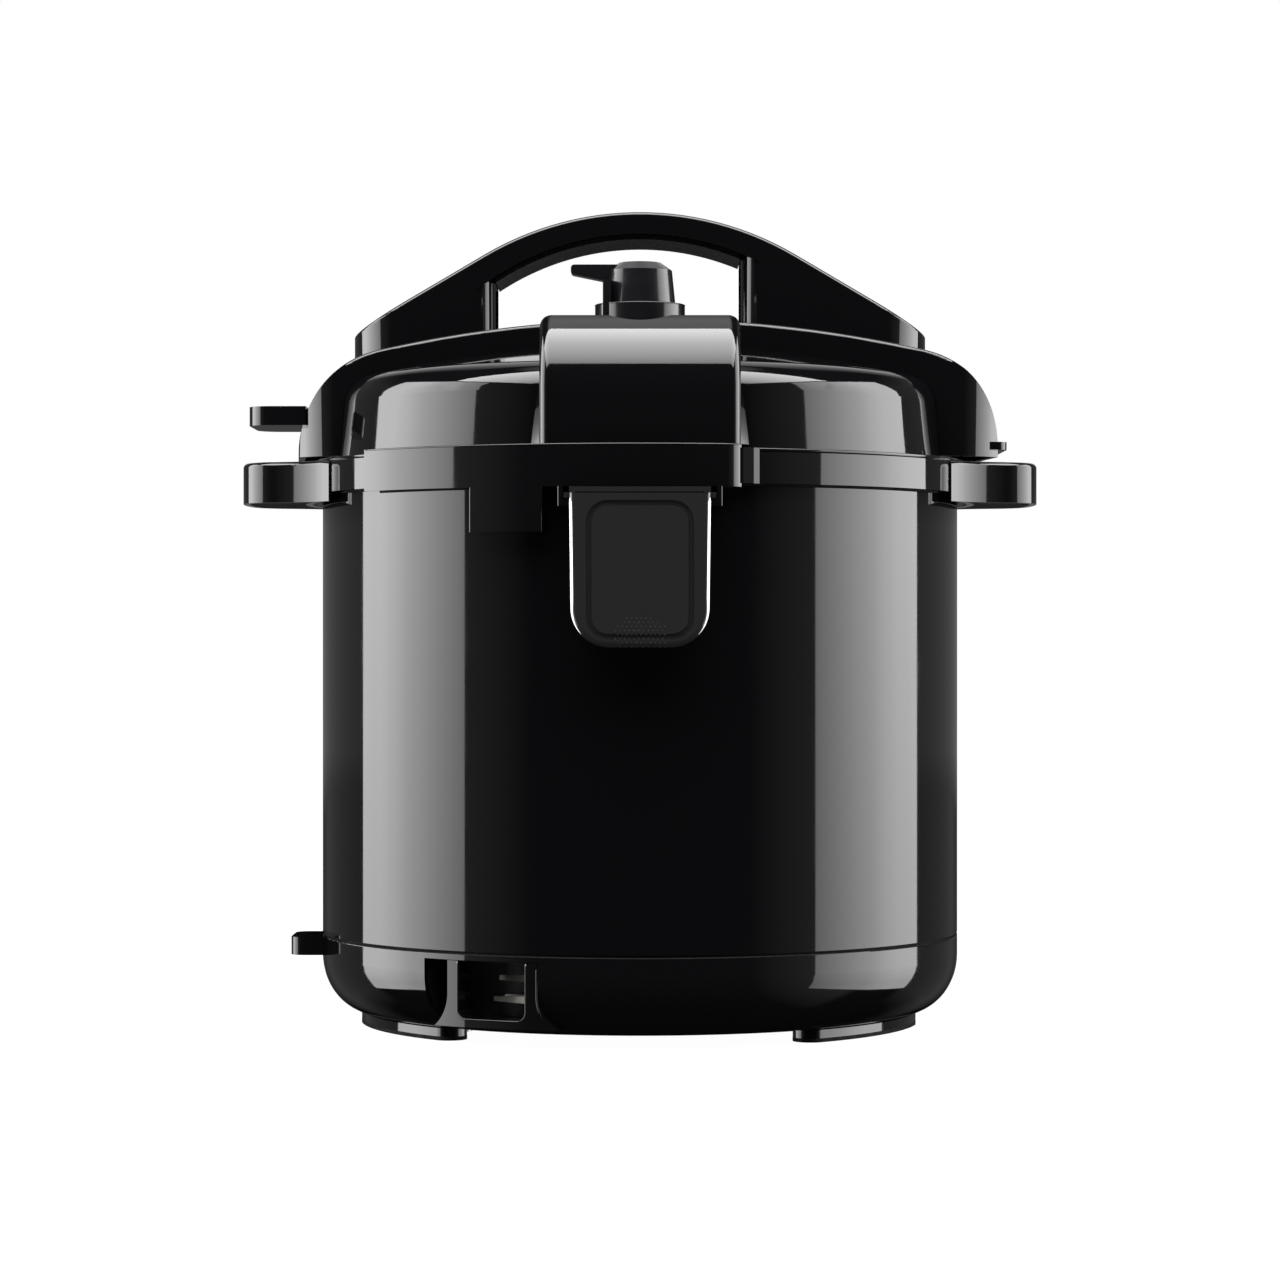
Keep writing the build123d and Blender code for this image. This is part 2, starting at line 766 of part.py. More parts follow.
# Cover over the back of the rim, with a hanging box that holds the lid switch
cover_span = cover_end_angle - cover_start_angle
nose_span = cover_turn_angle - cover_end_angle
round_centre = at_azimuth(cover_radius - cover_round, cover_end_angle)
tab_span = tab_end - tab_start
tab_bottom = cover_bottom - tab_drop
tab_back = body_radius + wall_fit
inner_angle = degrees(tab_wall / body_radius)
with BuildPart() as rear_rim_cover:
    with BuildSketch(Plane.XY.offset(cover_bottom)):
        with BuildLine():
            face = CenterArc((0, 0), cover_radius, from_back(cover_start_angle), cover_span)
            nose = CenterArc(round_centre, cover_round, from_back(cover_end_angle), nose_span)
            cover_stop = degrees(atan2((nose @ 1).X, -(nose @ 1).Y))
            back = CenterArc((0, 0), cover_bore, from_back(cover_start_angle), cover_stop - cover_start_angle)
            Line(nose @ 1, back @ 1)
            Line(face @ 0, back @ 0)
        make_face()
    extrude(amount=cover_top - cover_bottom)
    with BuildSketch(Plane.XY.offset(rim_bottom)):
        Polygon(
            at_azimuth(rim_radius + wall_fit, cover_stop - ramp_gap_angle),
            at_azimuth(rim_radius + wall_fit, cover_stop + ramp_gap_angle + ramp_span_angle),
            at_azimuth(rim_radius + ramp_rise / 2, cover_stop + ramp_gap_angle + ramp_break_angle),
            at_azimuth(rim_radius + ramp_rise, cover_stop + ramp_gap_angle),
            at_azimuth(rim_radius + ramp_rise / 2, cover_stop - ramp_gap_angle),
            align=None,
        )
    extrude(amount=rim_height)
    with BuildSketch(Plane.XY.offset(rim_top)):
        add(
            ring_sector(
                rim_radius - 2 * rim_wall,
                cover_bore + cover_wall / 4,
                from_back(cover_start_angle),
                cover_stop - cover_start_angle,
            )
        )
    extrude(amount=cover_lip)
    with BuildSketch(Plane.XY.offset(tab_bottom)):
        add(ring_sector(tab_back, cover_radius, from_back(tab_start), tab_span))
    extrude(amount=rim_bottom - tab_bottom - rim_gap / 2)
    with BuildSketch(Plane.XY.offset(tab_bottom + tab_wall)):
        add(
            ring_sector(
                tab_back,
                cover_radius - tab_wall,
                from_back(tab_start + inner_angle),
                tab_span - 2 * inner_angle,
            )
        )
    extrude(amount=tab_drop - tab_wall, mode=Mode.SUBTRACT)
    tab_corners = edges().filter_by(Axis.Z).filter_by(
        lambda e: e.center().Z < cover_bottom
        and sqrt(e.center().X ** 2 + e.center().Y ** 2) > cover_radius - tab_edge
    )
    fillet(tab_corners, radius=tab_edge)
rear_rim_cover.part.label = "rear_rim_cover"
export_step(rear_rim_cover.part, "parts/rear_rim_cover.step")

switch_angle = degrees(switch_play / body_radius) + inner_angle
with BuildPart() as lid_switch:
    with BuildSketch(Plane.XY.offset(tab_bottom + tab_wall)):
        add(
            ring_sector(
                tab_back + switch_play,
                cover_radius - tab_wall - switch_play,
                from_back(tab_start + switch_angle),
                tab_span - 2 * switch_angle,
            )
        )
    extrude(amount=tab_drop - tab_wall - switch_play)
lid_switch.part.label = "lid_switch"
export_step(lid_switch.part, "parts/lid_switch.step")

# Condensation cup and the rails that it slides into
cup_back = body_radius + wall_fit + rail_wall + cup_standoff
rail_top = cover_bottom - rail_play
shelf_top = rail_top - rail_wall - cup_ear - 2 * rail_play
rail_bottom = shelf_top - rail_shelf
rail_out = cup_half_width + cup_ear + rail_play
ear_bottom = shelf_top + rail_play
cup_top = ear_bottom + cup_ear
cup_bottom = cup_top - cup_height
with BuildPart() as cup_rails:
    with BuildSketch(Plane.XY.offset(rail_bottom)):
        with Locations((0, -cup_back - cup_ear_depth)):
            Rectangle(2 * (rail_out + rail_wall), cup_back, align=(Align.CENTER, Align.MIN))
        Circle(body_radius + wall_fit, mode=Mode.SUBTRACT)
    extrude(amount=rail_top - rail_bottom)
    with BuildSketch(Plane.XY.offset(rail_bottom)):
        Rectangle(2 * (cup_half_width + rail_play), 4 * body_radius)
        Circle(body_radius + wall_fit + rail_wall, mode=Mode.SUBTRACT)
    extrude(amount=rail_top - rail_bottom, mode=Mode.SUBTRACT)
    with BuildSketch(Plane.XY.offset(shelf_top)):
        Rectangle(2 * rail_out, 4 * body_radius)
        Circle(body_radius + wall_fit + rail_wall, mode=Mode.SUBTRACT)
    extrude(amount=rail_top - shelf_top, mode=Mode.SUBTRACT)
    rail_corners = edges().filter_by(Axis.Z).filter_by(lambda e: abs(e.center().X) > rail_out + rail_edge)
    fillet(rail_corners.group_by(Axis.Y)[0], radius=rail_edge)
cup_rails.part.label = "cup_rails"
export_step(cup_rails.part, "parts/cup_rails.step")


def cup_outline(inset, setback):
    """Front view of the cup at a depth: straight drafted sides and round lower corners."""
    half = cup_half_width - inset
    low = cup_bottom + inset
    with BuildSketch(Plane.XZ.offset(cup_back + setback)) as face:
        with BuildLine():
            Polyline(
                (half, cup_top + inset),
                (half - cup_draft, low),
                (-half + cup_draft, low),
                (-half, cup_top + inset),
                close=True,
            )
        make_face()
        fillet(face.vertices().group_by(Axis.Y)[0], radius=cup_corner - inset)
    return face.sketch


with BuildPart() as condensation_cup:
    extrude(cup_outline(0, 0), amount=cup_depth)
    fillet(faces().sort_by(Axis.Y)[0].edges().sort_by(Axis.Z)[:-1], radius=cup_edge)
    extrude(cup_outline(cup_wall, cup_wall), amount=cup_depth - 2 * cup_wall, mode=Mode.SUBTRACT)
    with BuildSketch(Plane.XY.offset(ear_bottom)):
        with Locations((0, -cup_back)):
            Rectangle(2 * (cup_half_width + cup_ear), cup_ear_depth, align=(Align.CENTER, Align.MAX))
        with Locations((0, -cup_back)):
            Rectangle(2 * (cup_half_width - cup_wall), 2 * cup_depth, mode=Mode.SUBTRACT)
    extrude(amount=cup_ear)
    with BuildSketch(Plane.XZ.offset(cup_back + cup_depth)):
        with Locations((0, (cup_top + cup_bottom) / 2)):
            RectangleRounded(
                2 * (cup_half_width - cup_panel_margin),
                cup_height - 2 * cup_panel_trim,
                cup_corner - cup_panel_margin,
            )
            RectangleRounded(
                2 * (cup_half_width - cup_panel_margin - cup_panel_groove),
                cup_height - 2 * cup_panel_trim - 2 * cup_panel_groove,
                cup_corner - cup_panel_margin - cup_panel_groove,
                mode=Mode.SUBTRACT,
            )
    extrude(amount=-cup_panel_depth, mode=Mode.SUBTRACT)
condensation_cup.part.label = "condensation_cup"
export_step(condensation_cup.part, "parts/condensation_cup.step")

# Outer pot: carries the heater below and has the bayonet teeth round its mouth
tooth_pitch = 360 / lug_count
with BuildPart() as outer_pot:
    with BuildSketch(Plane.XY.offset(outer_pot_bottom)):
        Circle(outer_pot_radius)
    extrude(amount=tooth_top - outer_pot_bottom)
    with BuildSketch(Plane.XY.offset(sleeve_top)):
        Circle(rim_bore - wall_fit)
    extrude(amount=outer_pot_flange)
    with BuildSketch(Plane.XY.offset(tooth_top - tooth_thickness)):
        Circle(tooth_root)
        for tooth in range(lug_count):
            start = (tooth + 0.5) * tooth_pitch - tooth_span_angle / 2
            add(ring_sector(outer_pot_radius, tooth_radius, start, tooth_span_angle))
    extrude(amount=tooth_thickness)
    with BuildSketch(Plane.XY.offset(outer_pot_floor)):
        Circle(outer_pot_bore)
    extrude(amount=tooth_top - outer_pot_floor, mode=Mode.SUBTRACT)
    with BuildSketch(Plane.XY.offset(outer_pot_bottom)):
        Circle(bracket_hole)
    extrude(amount=outer_pot_wall, mode=Mode.SUBTRACT)
outer_pot.part.label = "outer_pot"
export_step(outer_pot.part, "parts/outer_pot.step")

# Inner pot: the loose steel bowl, standing on the heater with a flat rim
with BuildPart() as inner_pot:
    with BuildSketch(Plane.XZ):
        with BuildLine():
            Polyline(
                (0, pot_bottom),
                (inner_pot_radius, pot_bottom),
                (inner_pot_radius, pot_rim_bottom),
                (tooth_root, pot_rim_bottom),
                (tooth_root, pot_rim_top),
                (inner_pot_bore, pot_rim_top),
                (inner_pot_bore, pot_floor),
                (0, pot_floor),
                close=True,
            )
        make_face()
        outside = vertices().sort_by_distance((inner_pot_radius, pot_bottom))[0]
        inside = vertices().sort_by_distance((inner_pot_bore, pot_floor))[0]
        fillet(outside, radius=inner_pot_round)
        fillet(inside, radius=inner_pot_round - inner_pot_wall)
    revolve(axis=Axis.Z)
inner_pot.part.label = "inner_pot"
export_step(inner_pot.part, "parts/inner_pot.step")

# Heater: a cast disc with a ring element below, on posts, with the sprung sensor in its middle
heater_radius = inner_pot_radius - heater_setback
post_path = heater_radius - 2 * support_radius
element_path = post_path - support_radius - element_gap - element_radius
with BuildPart() as heating_plate:
    with BuildSketch(Plane.XY.offset(heater_bottom)):
        Circle(heater_radius)
        Circle(heater_hole, mode=Mode.SUBTRACT)
    extrude(amount=heater_thickness)
    with BuildSketch(Plane.XZ):
        with Locations((element_path, heater_bottom + element_sink)):
            Circle(element_radius)
    revolve(axis=Axis.Z)
heating_plate.part.label = "heating_plate"
export_step(heating_plate.part, "parts/heating_plate.step")

with BuildPart() as heater_posts:
    with BuildSketch(Plane.XY.offset(outer_pot_floor)):
        with PolarLocations(post_path, support_count, start_angle=90):
            Circle(support_radius)
    extrude(amount=support_height)
heater_posts.part.label = "heater_posts"
export_step(heater_posts.part, "parts/heater_posts.step")

guide_radius = sensor_stem + sensor_fit + guide_wall
with BuildPart() as sensor_bracket:
    with BuildSketch(Plane.XY.offset(outer_pot_bottom - bracket_thickness)):
        Circle(bracket_radius)
        Circle(sensor_stem + sensor_fit, mode=Mode.SUBTRACT)
    extrude(amount=bracket_thickness)
    with BuildSketch(Plane.XY.offset(outer_pot_bottom)):
        Circle(guide_radius)
        Circle(sensor_stem + sensor_fit, mode=Mode.SUBTRACT)
    extrude(amount=-guide_length)
sensor_bracket.part.label = "sensor_bracket"
export_step(sensor_bracket.part, "parts/sensor_bracket.step")

sensor_under = pot_bottom - sensor_cap
with BuildPart() as temperature_sensor:
    with BuildSketch(Plane.XY.offset(sensor_under)):
        Circle(sensor_radius)
    extrude(amount=sensor_cap)
    fillet(edges().group_by(Axis.Z)[-1], radius=sensor_round)
    with BuildSketch(Plane.XY.offset(sensor_under)):
        Circle(sensor_stem)
    extrude(amount=-(sensor_under - outer_pot_bottom + guide_length - sensor_travel))
temperature_sensor.part.label = "temperature_sensor"
export_step(temperature_sensor.part, "parts/temperature_sensor.step")

# Sensor spring: one open coil standing on the bracket, short of the cap by its travel
spring_low = outer_pot_bottom + spring_wire
spring_high = sensor_under - sensor_travel - 2 * spring_wire
spring_pitch = (spring_high - spring_low) / spring_turns


def on_spring(turn):
    """Point of the coil's wire at a number of turns from its foot."""
    angle = 360 * turn
    return (
        spring_radius * cos(radians(angle)),
        spring_radius * sin(radians(angle)),
        spring_low + spring_pitch * turn,
    )


with BuildPart() as sensor_spring:
    with BuildLine() as coil:
        for half in range(2 * spring_turns):
            ThreePointArc(on_spring(half / 2), on_spring(half / 2 + 0.25), on_spring(half / 2 + 0.5))
    with BuildSketch(Plane(origin=coil.wire() @ 0, z_dir=coil.wire() % 0)):
        RegularPolygon(spring_wire, 6)
    sweep(path=coil.wire())
sensor_spring.part.label = "sensor_spring"
export_step(sensor_spring.part, "parts/sensor_spring.step")

with BuildPart() as pressure_switch:
    with BuildSketch(Plane.XY.offset(outer_pot_bottom)):
        with Locations((switch_place, 0)):
            Rectangle(switch_length, switch_width)
    extrude(amount=-switch_height)
    fillet(edges().filter_by(Axis.Z), radius=switch_round)
pressure_switch.part.label = "pressure_switch"
export_step(pressure_switch.part, "parts/pressure_switch.step")

# Control panel: a curved fascia on the front with a window, keys and the posts of its board
window_middle = panel_height / 2 - window_drop - window_height / 2
key_middle = key_lift - panel_height / 2
post_rise = window_z - 2 * post_radius


def front_shape(width, height, corner, rise):
    """Rounded rectangle on the plane that looks at the front."""
    with BuildSketch(front) as face:
        with Locations((0, rise)):
            RectangleRounded(width, height, corner)
    return face.sketch


with BuildPart() as control_panel:
    with BuildSketch(Plane.XY.offset(panel_bottom)):
        Circle(panel_radius)
        Circle(panel_bore, mode=Mode.SUBTRACT)
    extrude(amount=panel_height)
    outline = front_shape(2 * panel_half_width, panel_height, panel_corner, 0)
    extrude(outline, amount=2 * body_radius, mode=Mode.INTERSECT)
    outer_face = faces().filter_by(GeomType.CYLINDER).sort_by(SortBy.AREA)[-1]
    fillet(outer_face.edges(), radius=panel_edge)
    window_hole = front_shape(
        2 * (window_half_width + wall_fit),
        window_height + 2 * wall_fit,
        window_corner + wall_fit,
        window_middle,
    )
    extrude(window_hole, amount=2 * body_radius, mode=Mode.SUBTRACT)
    with BuildSketch(front):
        with Locations((0, key_middle)):
            with GridLocations(key_pitch_x, key_pitch_z, key_columns, 2):
                RectangleRounded(key_width + 2 * key_fit, key_height + 2 * key_fit, key_corner)
    extrude(amount=2 * body_radius, mode=Mode.SUBTRACT)
    with BuildSketch(front.offset(control_board_front)):
        with GridLocations(2 * control_post_x, 2 * post_rise, 2, 2):
            Circle(post_radius)
    extrude(amount=sqrt(panel_bore**2 - control_post_x**2) + panel_thickness / 2 - control_board_front)
control_panel.part.label = "control_panel"
export_step(control_panel.part, "parts/control_panel.step")

with BuildPart() as display_window:
    with BuildSketch(Plane.XY.offset(panel_bottom)):
        Circle(panel_radius - wall_fit)
        Circle(panel_bore, mode=Mode.SUBTRACT)
    extrude(amount=panel_height)
    pane = front_shape(2 * window_half_width, window_height, window_corner, window_middle)
    extrude(pane, amount=2 * body_radius, mode=Mode.INTERSECT)
display_window.part.label = "display_window"
export_step(display_window.part, "parts/display_window.step")

key_back = body_radius - key_reach
key_names = (
    ("menu_key", -1, 0.5),
    ("pressure_key", 0, 0.5),
    ("timer_key", 1, 0.5),
    ("cancel_key", -1, -0.5),
    ("less_key", 0, -0.5),
    ("more_key", 1, -0.5),
)
for name, column, row in key_names:
    with BuildPart() as key:
        with BuildSketch(front.offset(key_back)):
            with Locations((column * key_pitch_x, key_middle + row * key_pitch_z)):
                RectangleRounded(key_width, key_height, key_corner)
        extrude(amount=2 * key_reach + panel_radius - body_radius)
        with BuildSketch(Plane.XY.offset(panel_bottom)):
            Circle(panel_radius + key_proud)
        extrude(amount=panel_height, mode=Mode.INTERSECT)
    key.part.label = name
    export_step(key.part, f"parts/{name}.step")

with BuildPart() as control_board:
    with BuildSketch(front.offset(control_board_front)):
        Rectangle(2 * control_board_half_width, 2 * (post_rise + 2 * post_radius))
    extrude(amount=-board_thickness)
    with BuildSketch(front.offset(control_board_front)):
        with Locations((0, key_middle)):
            with GridLocations(key_pitch_x, key_pitch_z, key_columns, 2):
                Rectangle(tact_size, tact_size)
    extrude(amount=key_back - key_travel - key_gap - control_board_front)
control_board.part.label = "control_board"
export_step(control_board.part, "parts/control_board.step")

# Lid shell: the black finished steel dome with its upright skirt
dome_outside = revolve(dome_section(0), Axis.Z)
dome_inside = revolve(dome_section(shell_wall), Axis.Z)
dome_clear = revolve(dome_section(-seat), Axis.Z)
pipe_hole = pipe_radius + 2 * seat
float_hole = float_radius + float_fit
with BuildPart() as lid_shell:
    add(dome_outside)
    add(dome_inside, mode=Mode.SUBTRACT)
    with BuildSketch(Plane.XY.offset(lid_bottom)):
        with Locations((0, -valve_place)):
            Circle(pipe_hole)
        with Locations((float_place, 0)):
            Circle(float_hole)
        with GridLocations(2 * crown_screw_x, 2 * crown_screw_y, 2, 2):
            Circle(screw_radius + screw_play)
    extrude(amount=2 * dome_rise, mode=Mode.SUBTRACT)
lid_shell.part.label = "lid_shell"
export_step(lid_shell.part, "parts/lid_shell.step")

# Inner lid: the pressure plate with a deep skirt and six lugs that turn under the pot's teeth
with BuildPart() as inner_lid:
    with BuildSketch(Plane.XZ):
        with BuildLine():
            Polyline(
                (inner_lid_bore, lug_bottom),
                (inner_lid_radius, lug_bottom),
                (inner_lid_radius, inner_lid_under + inner_lid_wall),
                (plateau_radius + plateau_slope + inner_lid_wall, inner_lid_under + inner_lid_wall),
                (plateau_radius + inner_lid_wall, plateau_top),
                (0, plateau_top),
                (0, plateau_under),
                (plateau_radius, plateau_under),
                (plateau_radius + plateau_slope, inner_lid_under),
                (inner_lid_bore, inner_lid_under),
                close=True,
            )
        make_face()
    revolve(axis=Axis.Z)
    with BuildSketch(Plane.XY.offset(lug_bottom)):
        for lug in range(lug_count):
            start = lug * tooth_pitch - lug_span_angle / 2
            add(ring_sector(lug_radius, inner_lid_bore + inner_lid_wall / 2, start, lug_span_angle))
    extrude(amount=lug_thickness)
    with BuildSketch(Plane.XY.offset(plateau_under)):
        with Locations((0, -valve_place)):
            Circle(pipe_hole)
        with Locations((float_place, 0)):
            Circle(float_hole)
    extrude(amount=inner_lid_wall, mode=Mode.SUBTRACT)
inner_lid.part.label = "inner_lid"
export_step(inner_lid.part, "parts/inner_lid.step")

# Sealing ring: a silicone channel open towards the axis, and the rack that keeps it up
with BuildPart() as sealing_ring:
    with BuildSketch(Plane.XZ):
        with BuildLine():
            Polyline(
                (ring_radius - ring_reach, ring_bottom),
                (ring_radius, ring_bottom),
                (ring_radius, ring_top),
                (ring_radius - ring_top_reach, ring_top),
                (ring_radius - ring_top_reach, ring_top - ring_lip),
                (ring_radius - ring_web, ring_top - ring_lip),
                (ring_radius - ring_web, ring_bottom + ring_lip),
                (ring_radius - ring_reach, ring_bottom + ring_lip),
                close=True,
            )
        make_face()
    revolve(axis=Axis.Z)
sealing_ring.part.label = "sealing_ring"
export_step(sealing_ring.part, "parts/sealing_ring.step")

rack_radius = ring_radius - ring_top_reach - ring_gap
rack_low = (ring_bottom + ring_top - rack_wire) / 2
with BuildPart() as ring_rack:
    with BuildSketch(Plane.XZ):
        with BuildLine():
            Polyline(
                (rack_radius - rack_wall, rack_low),
                (rack_radius + rack_reach, rack_low),
                (rack_radius + rack_reach, rack_low + rack_wire),
                (rack_radius, rack_low + rack_wire),
                (rack_radius, inner_lid_under),
                (rack_radius - rack_wall, inner_lid_under),
                close=True,
            )
        make_face()
    revolve(axis=Axis.Z)
ring_rack.part.label = "ring_rack"
export_step(ring_rack.part, "parts/ring_rack.step")


crown_slant = tan(radians(crown_lean))
tip_wide = crown_tip_round * sin(radians(crown_tip_turn))
tip_y = crown_half_depth - crown_tip_round * (1 - cos(radians(crown_tip_turn)))
tip_middle = crown_half_depth - crown_tip_round
long_tip = crown_span + crown_slant * tip_y - tip_wide
short_tip = crown_span - crown_slant * tip_y - tip_wide


def crown_plan(inset):
    """Plan of the crown: a band with round tips, whose end walls lean the same way round the lid."""
    tip = crown_tip_round - inset
    with BuildSketch() as plan:
        with BuildLine():
            near_right = CenterArc((crown_shift + long_tip, -tip_middle), tip, -90, crown_tip_turn)
            near_left = CenterArc((crown_shift - short_tip, -tip_middle), tip, -90, -crown_tip_turn)
            far_right = CenterArc((crown_shift + short_tip, tip_middle), tip, 90, -crown_tip_turn)
            far_left = CenterArc((crown_shift - long_tip, tip_middle), tip, 90, crown_tip_turn)
            Line(near_left @ 0, near_right @ 0)
            Line(near_right @ 1, far_right @ 1)
            Line(far_right @ 0, far_left @ 0)
            Line(far_left @ 1, near_left @ 1)
        make_face()
    return plan.sketch


corner_z = lid_bottom + crown_end
corner_reach = crown_arc**2 - crown_span**2 - (corner_z - crown_centre) ** 2
crown_corner = corner_reach / (2 * (crown_arc - crown_span))
corner_x = crown_span - crown_corner
corner_turn = degrees(asin(corner_x / (crown_arc - crown_corner)))


def crown_body(grow):
    """Arched band of the crown before its tips are rounded, slanting so that both ends lean."""
    half = crown_span + grow
    depth = crown_half_depth + grow
    start = crown_shift + crown_slant * depth
    near = Plane(origin=(start, -depth, 0), x_dir=(1, 0, 0), z_dir=(0, -1, 0))
    with BuildPart() as body:
        with BuildSketch(near):
            with BuildLine():
                CenterArc((0, crown_centre), crown_arc + grow, 90 - corner_turn, 2 * corner_turn)
                right = CenterArc((corner_x, corner_z), crown_corner + grow, 0, 90 - corner_turn)
                left = CenterArc(
                    (-corner_x, corner_z),
                    crown_corner + grow,
                    90 + corner_turn,
                    90 - corner_turn,
                )
                Polyline(right @ 0, (half, lid_bottom), (-half, lid_bottom), left @ 1)
            make_face()
        extrude(amount=2 * depth / cos(radians(crown_lean)), dir=(-crown_slant, 1, 0))
    return body.part


# Crown: the arched band over the dome, hollow under its tips, with the parking lug and fin
lug_root = crown_span - crown_slant * crown_half_depth - crown_wall
with BuildPart() as lid_crown:
    add(crown_body(0))
    fillet(edges().filter_by(GeomType.CIRCLE), radius=crown_edge)
    with BuildSketch(Plane.XY.offset(lid_bottom)):
        add(crown_plan(0))
    extrude(amount=crown_rise, mode=Mode.INTERSECT)
    add(dome_clear, mode=Mode.SUBTRACT)
    with BuildSketch(Plane.XY.offset(lid_bottom)):
        add(crown_plan(crown_wall))
        Circle(lid_radius + crown_wall, mode=Mode.SUBTRACT)
    extrude(amount=crown_pocket, mode=Mode.SUBTRACT)
    with BuildSketch(Plane.XY.offset(lid_bottom + lug_plate_lift)):
        with Locations((-lug_root, 0)):
            Rectangle(
                crown_span + lug_plate_reach - lug_root,
                2 * lug_plate_half_depth,
                align=(Align.MAX, Align.CENTER),
            )
        fillet(vertices().group_by(Axis.X)[0], radius=lug_plate_round)
    extrude(amount=lug_plate_thickness)
    with BuildSketch(Plane.XY.offset(lid_bottom + fin_lift)):
        with Locations((lug_root, 0)):
            Rectangle(
                crown_span + fin_reach - lug_root,
                2 * lug_plate_half_depth,
                align=(Align.MIN, Align.CENTER),
            )
        fillet(vertices().group_by(Axis.X)[-1], radius=lug_plate_round / 2)
    extrude(amount=fin_thickness)
    with BuildSketch(Plane.XY.offset(lid_bottom)):
        with Locations((float_place, 0)):
            Circle(float_hole)
    extrude(amount=2 * crown_rise, mode=Mode.SUBTRACT)
    with BuildSketch(Plane.XY.offset(lid_bottom)):
        with GridLocations(2 * crown_screw_x, 2 * crown_screw_y, 2, 2):
            Circle(screw_radius + screw_play)
    extrude(amount=crown_rise - crown_screw_length, mode=Mode.SUBTRACT)
lid_crown.part.label = "lid_crown"
export_step(lid_crown.part, "parts/lid_crown.step")

# Tongue: the hood that runs from the crown down over the back of the lid, with the valve's well
tongue_top = crown_top - tongue_slope
tongue_face = tongue_reach - tongue_arc
tongue_low = tongue_top - tongue_arc * cos(radians(tongue_tilt))
flare_front = tongue_edge - tongue_reach
flare_back = flare_front + tongue_flare_depth
with BuildPart() as rear_tongue:
    with BuildSketch(Plane.YZ):
        with BuildLine():
            brow = CenterArc((-tongue_face, tongue_low), tongue_arc, 180, tongue_tilt - 90)
            Polyline(
                brow @ 1,
                (-crown_half_depth - seat, tongue_top),
                (-crown_half_depth - seat, lid_bottom),
                (-tongue_reach, lid_bottom),
                brow @ 0,
            )
        make_face()
    extrude(amount=tongue_half_width, both=True)
    long_edges = edges().filter_by(lambda e: abs(abs(e.center().X) - tongue_half_width) < 0.01)
    outer_edges = long_edges.filter_by(
        lambda e: e.center().Y < -crown_half_depth - 1 and e.center().Z > lid_bottom + 1
    )
    fillet(outer_edges, radius=tongue_edge)
    for side in (-1, 1):
        edge = side * tongue_half_width
        with BuildSketch(Plane.XY.offset(lid_bottom)):
            Polygon(
                (edge - side * tongue_flare, flare_front),
                (edge, flare_front),
                (edge + side * tongue_flare, flare_back),
                (edge - side * tongue_flare, flare_back),
                align=None,
            )
        with BuildSketch(Plane.XY.offset(lid_bottom + tongue_flare_height)):
            Polygon(
                (edge - side * tongue_flare, flare_front),
                (edge, flare_front),
                (edge + side * seat, flare_back),
                (edge - side * tongue_flare, flare_back),
                align=None,
            )
        loft()
    add(dome_clear, mode=Mode.SUBTRACT)
    with BuildSketch(Plane.XY.offset(well_floor)):
        with Locations((0, -valve_place)):
            Circle(well_radius)
    extrude(amount=2 * well_depth, mode=Mode.SUBTRACT)
    with BuildSketch(Plane.XY.offset(lid_bottom)):
        with Locations((0, -valve_place)):
            Circle(pipe_hole)
    extrude(amount=crown_rise, mode=Mode.SUBTRACT)
rear_tongue.part.label = "rear_tongue"
export_step(rear_tongue.part, "parts/rear_tongue.step")

# Handle: a flat-sided arch with round ends, open in the middle, and the pad under its grip
grip_top = crown_top + grip_peak
grip_centre = grip_top - grip_arc
tangent_x = grip_arc * sin(radians(grip_slope))
tangent_z = grip_centre + grip_arc * cos(radians(grip_slope))
end_z = tangent_z - (grip_span - tangent_x) * tan(radians(grip_slope))
sole_z = crown_top - crown_corner
under_centre = opening_top - grip_under_arc


def under_arc(radius, left, right):
    """Start angle and sweep of the arch's underside between two places along X."""
    start = 90 - degrees(asin(right / radius))
    return start, 90 + degrees(asin(left / radius)) - start


with BuildPart() as lid_handle:
    with BuildSketch(Plane.XZ):
        with BuildLine():
            arch = CenterArc((0, grip_centre), grip_arc, 90 - grip_slope, 2 * grip_slope)
            Polyline(
                arch @ 0,
                (grip_span, end_z),
                (grip_span, sole_z),
                (-grip_span, sole_z),
                (-grip_span, end_z),
                arch @ 1,
            )
        make_face()
        with BuildLine():
            turn = under_arc(grip_under_arc, grip_left, grip_right)
            under = CenterArc((0, under_centre), grip_under_arc, *turn)
            Polyline(
                under @ 0,
                (grip_right, crown_centre),
                (-grip_left, crown_centre),
                under @ 1,
            )
        make_face(mode=Mode.SUBTRACT)
    extrude(amount=grip_half_depth, both=True)
    with BuildSketch(Plane.XY.offset(lid_bottom)):
        SlotOverall(2 * grip_span, 2 * grip_half_depth)
    extrude(amount=2 * crown_rise, mode=Mode.INTERSECT)
    post_edges = edges().filter_by(Axis.Z).filter_by(
        lambda e: -grip_left - 0.1 < e.center().X < grip_right + 0.1
    )
    fillet(post_edges, radius=grip_post_round)
    ridge = ShapeList()
    for face in faces().filter_by(lambda f: f.normal_at().Z > 0.5):
        ridge += face.edges().filter_by(lambda e: abs(e.center().Y) > insert_setback)
    fillet(ridge, radius=grip_edge)
    add(crown_body(seat), mode=Mode.SUBTRACT)
lid_handle.part.label = "lid_handle"
export_step(lid_handle.part, "parts/lid_handle.step")

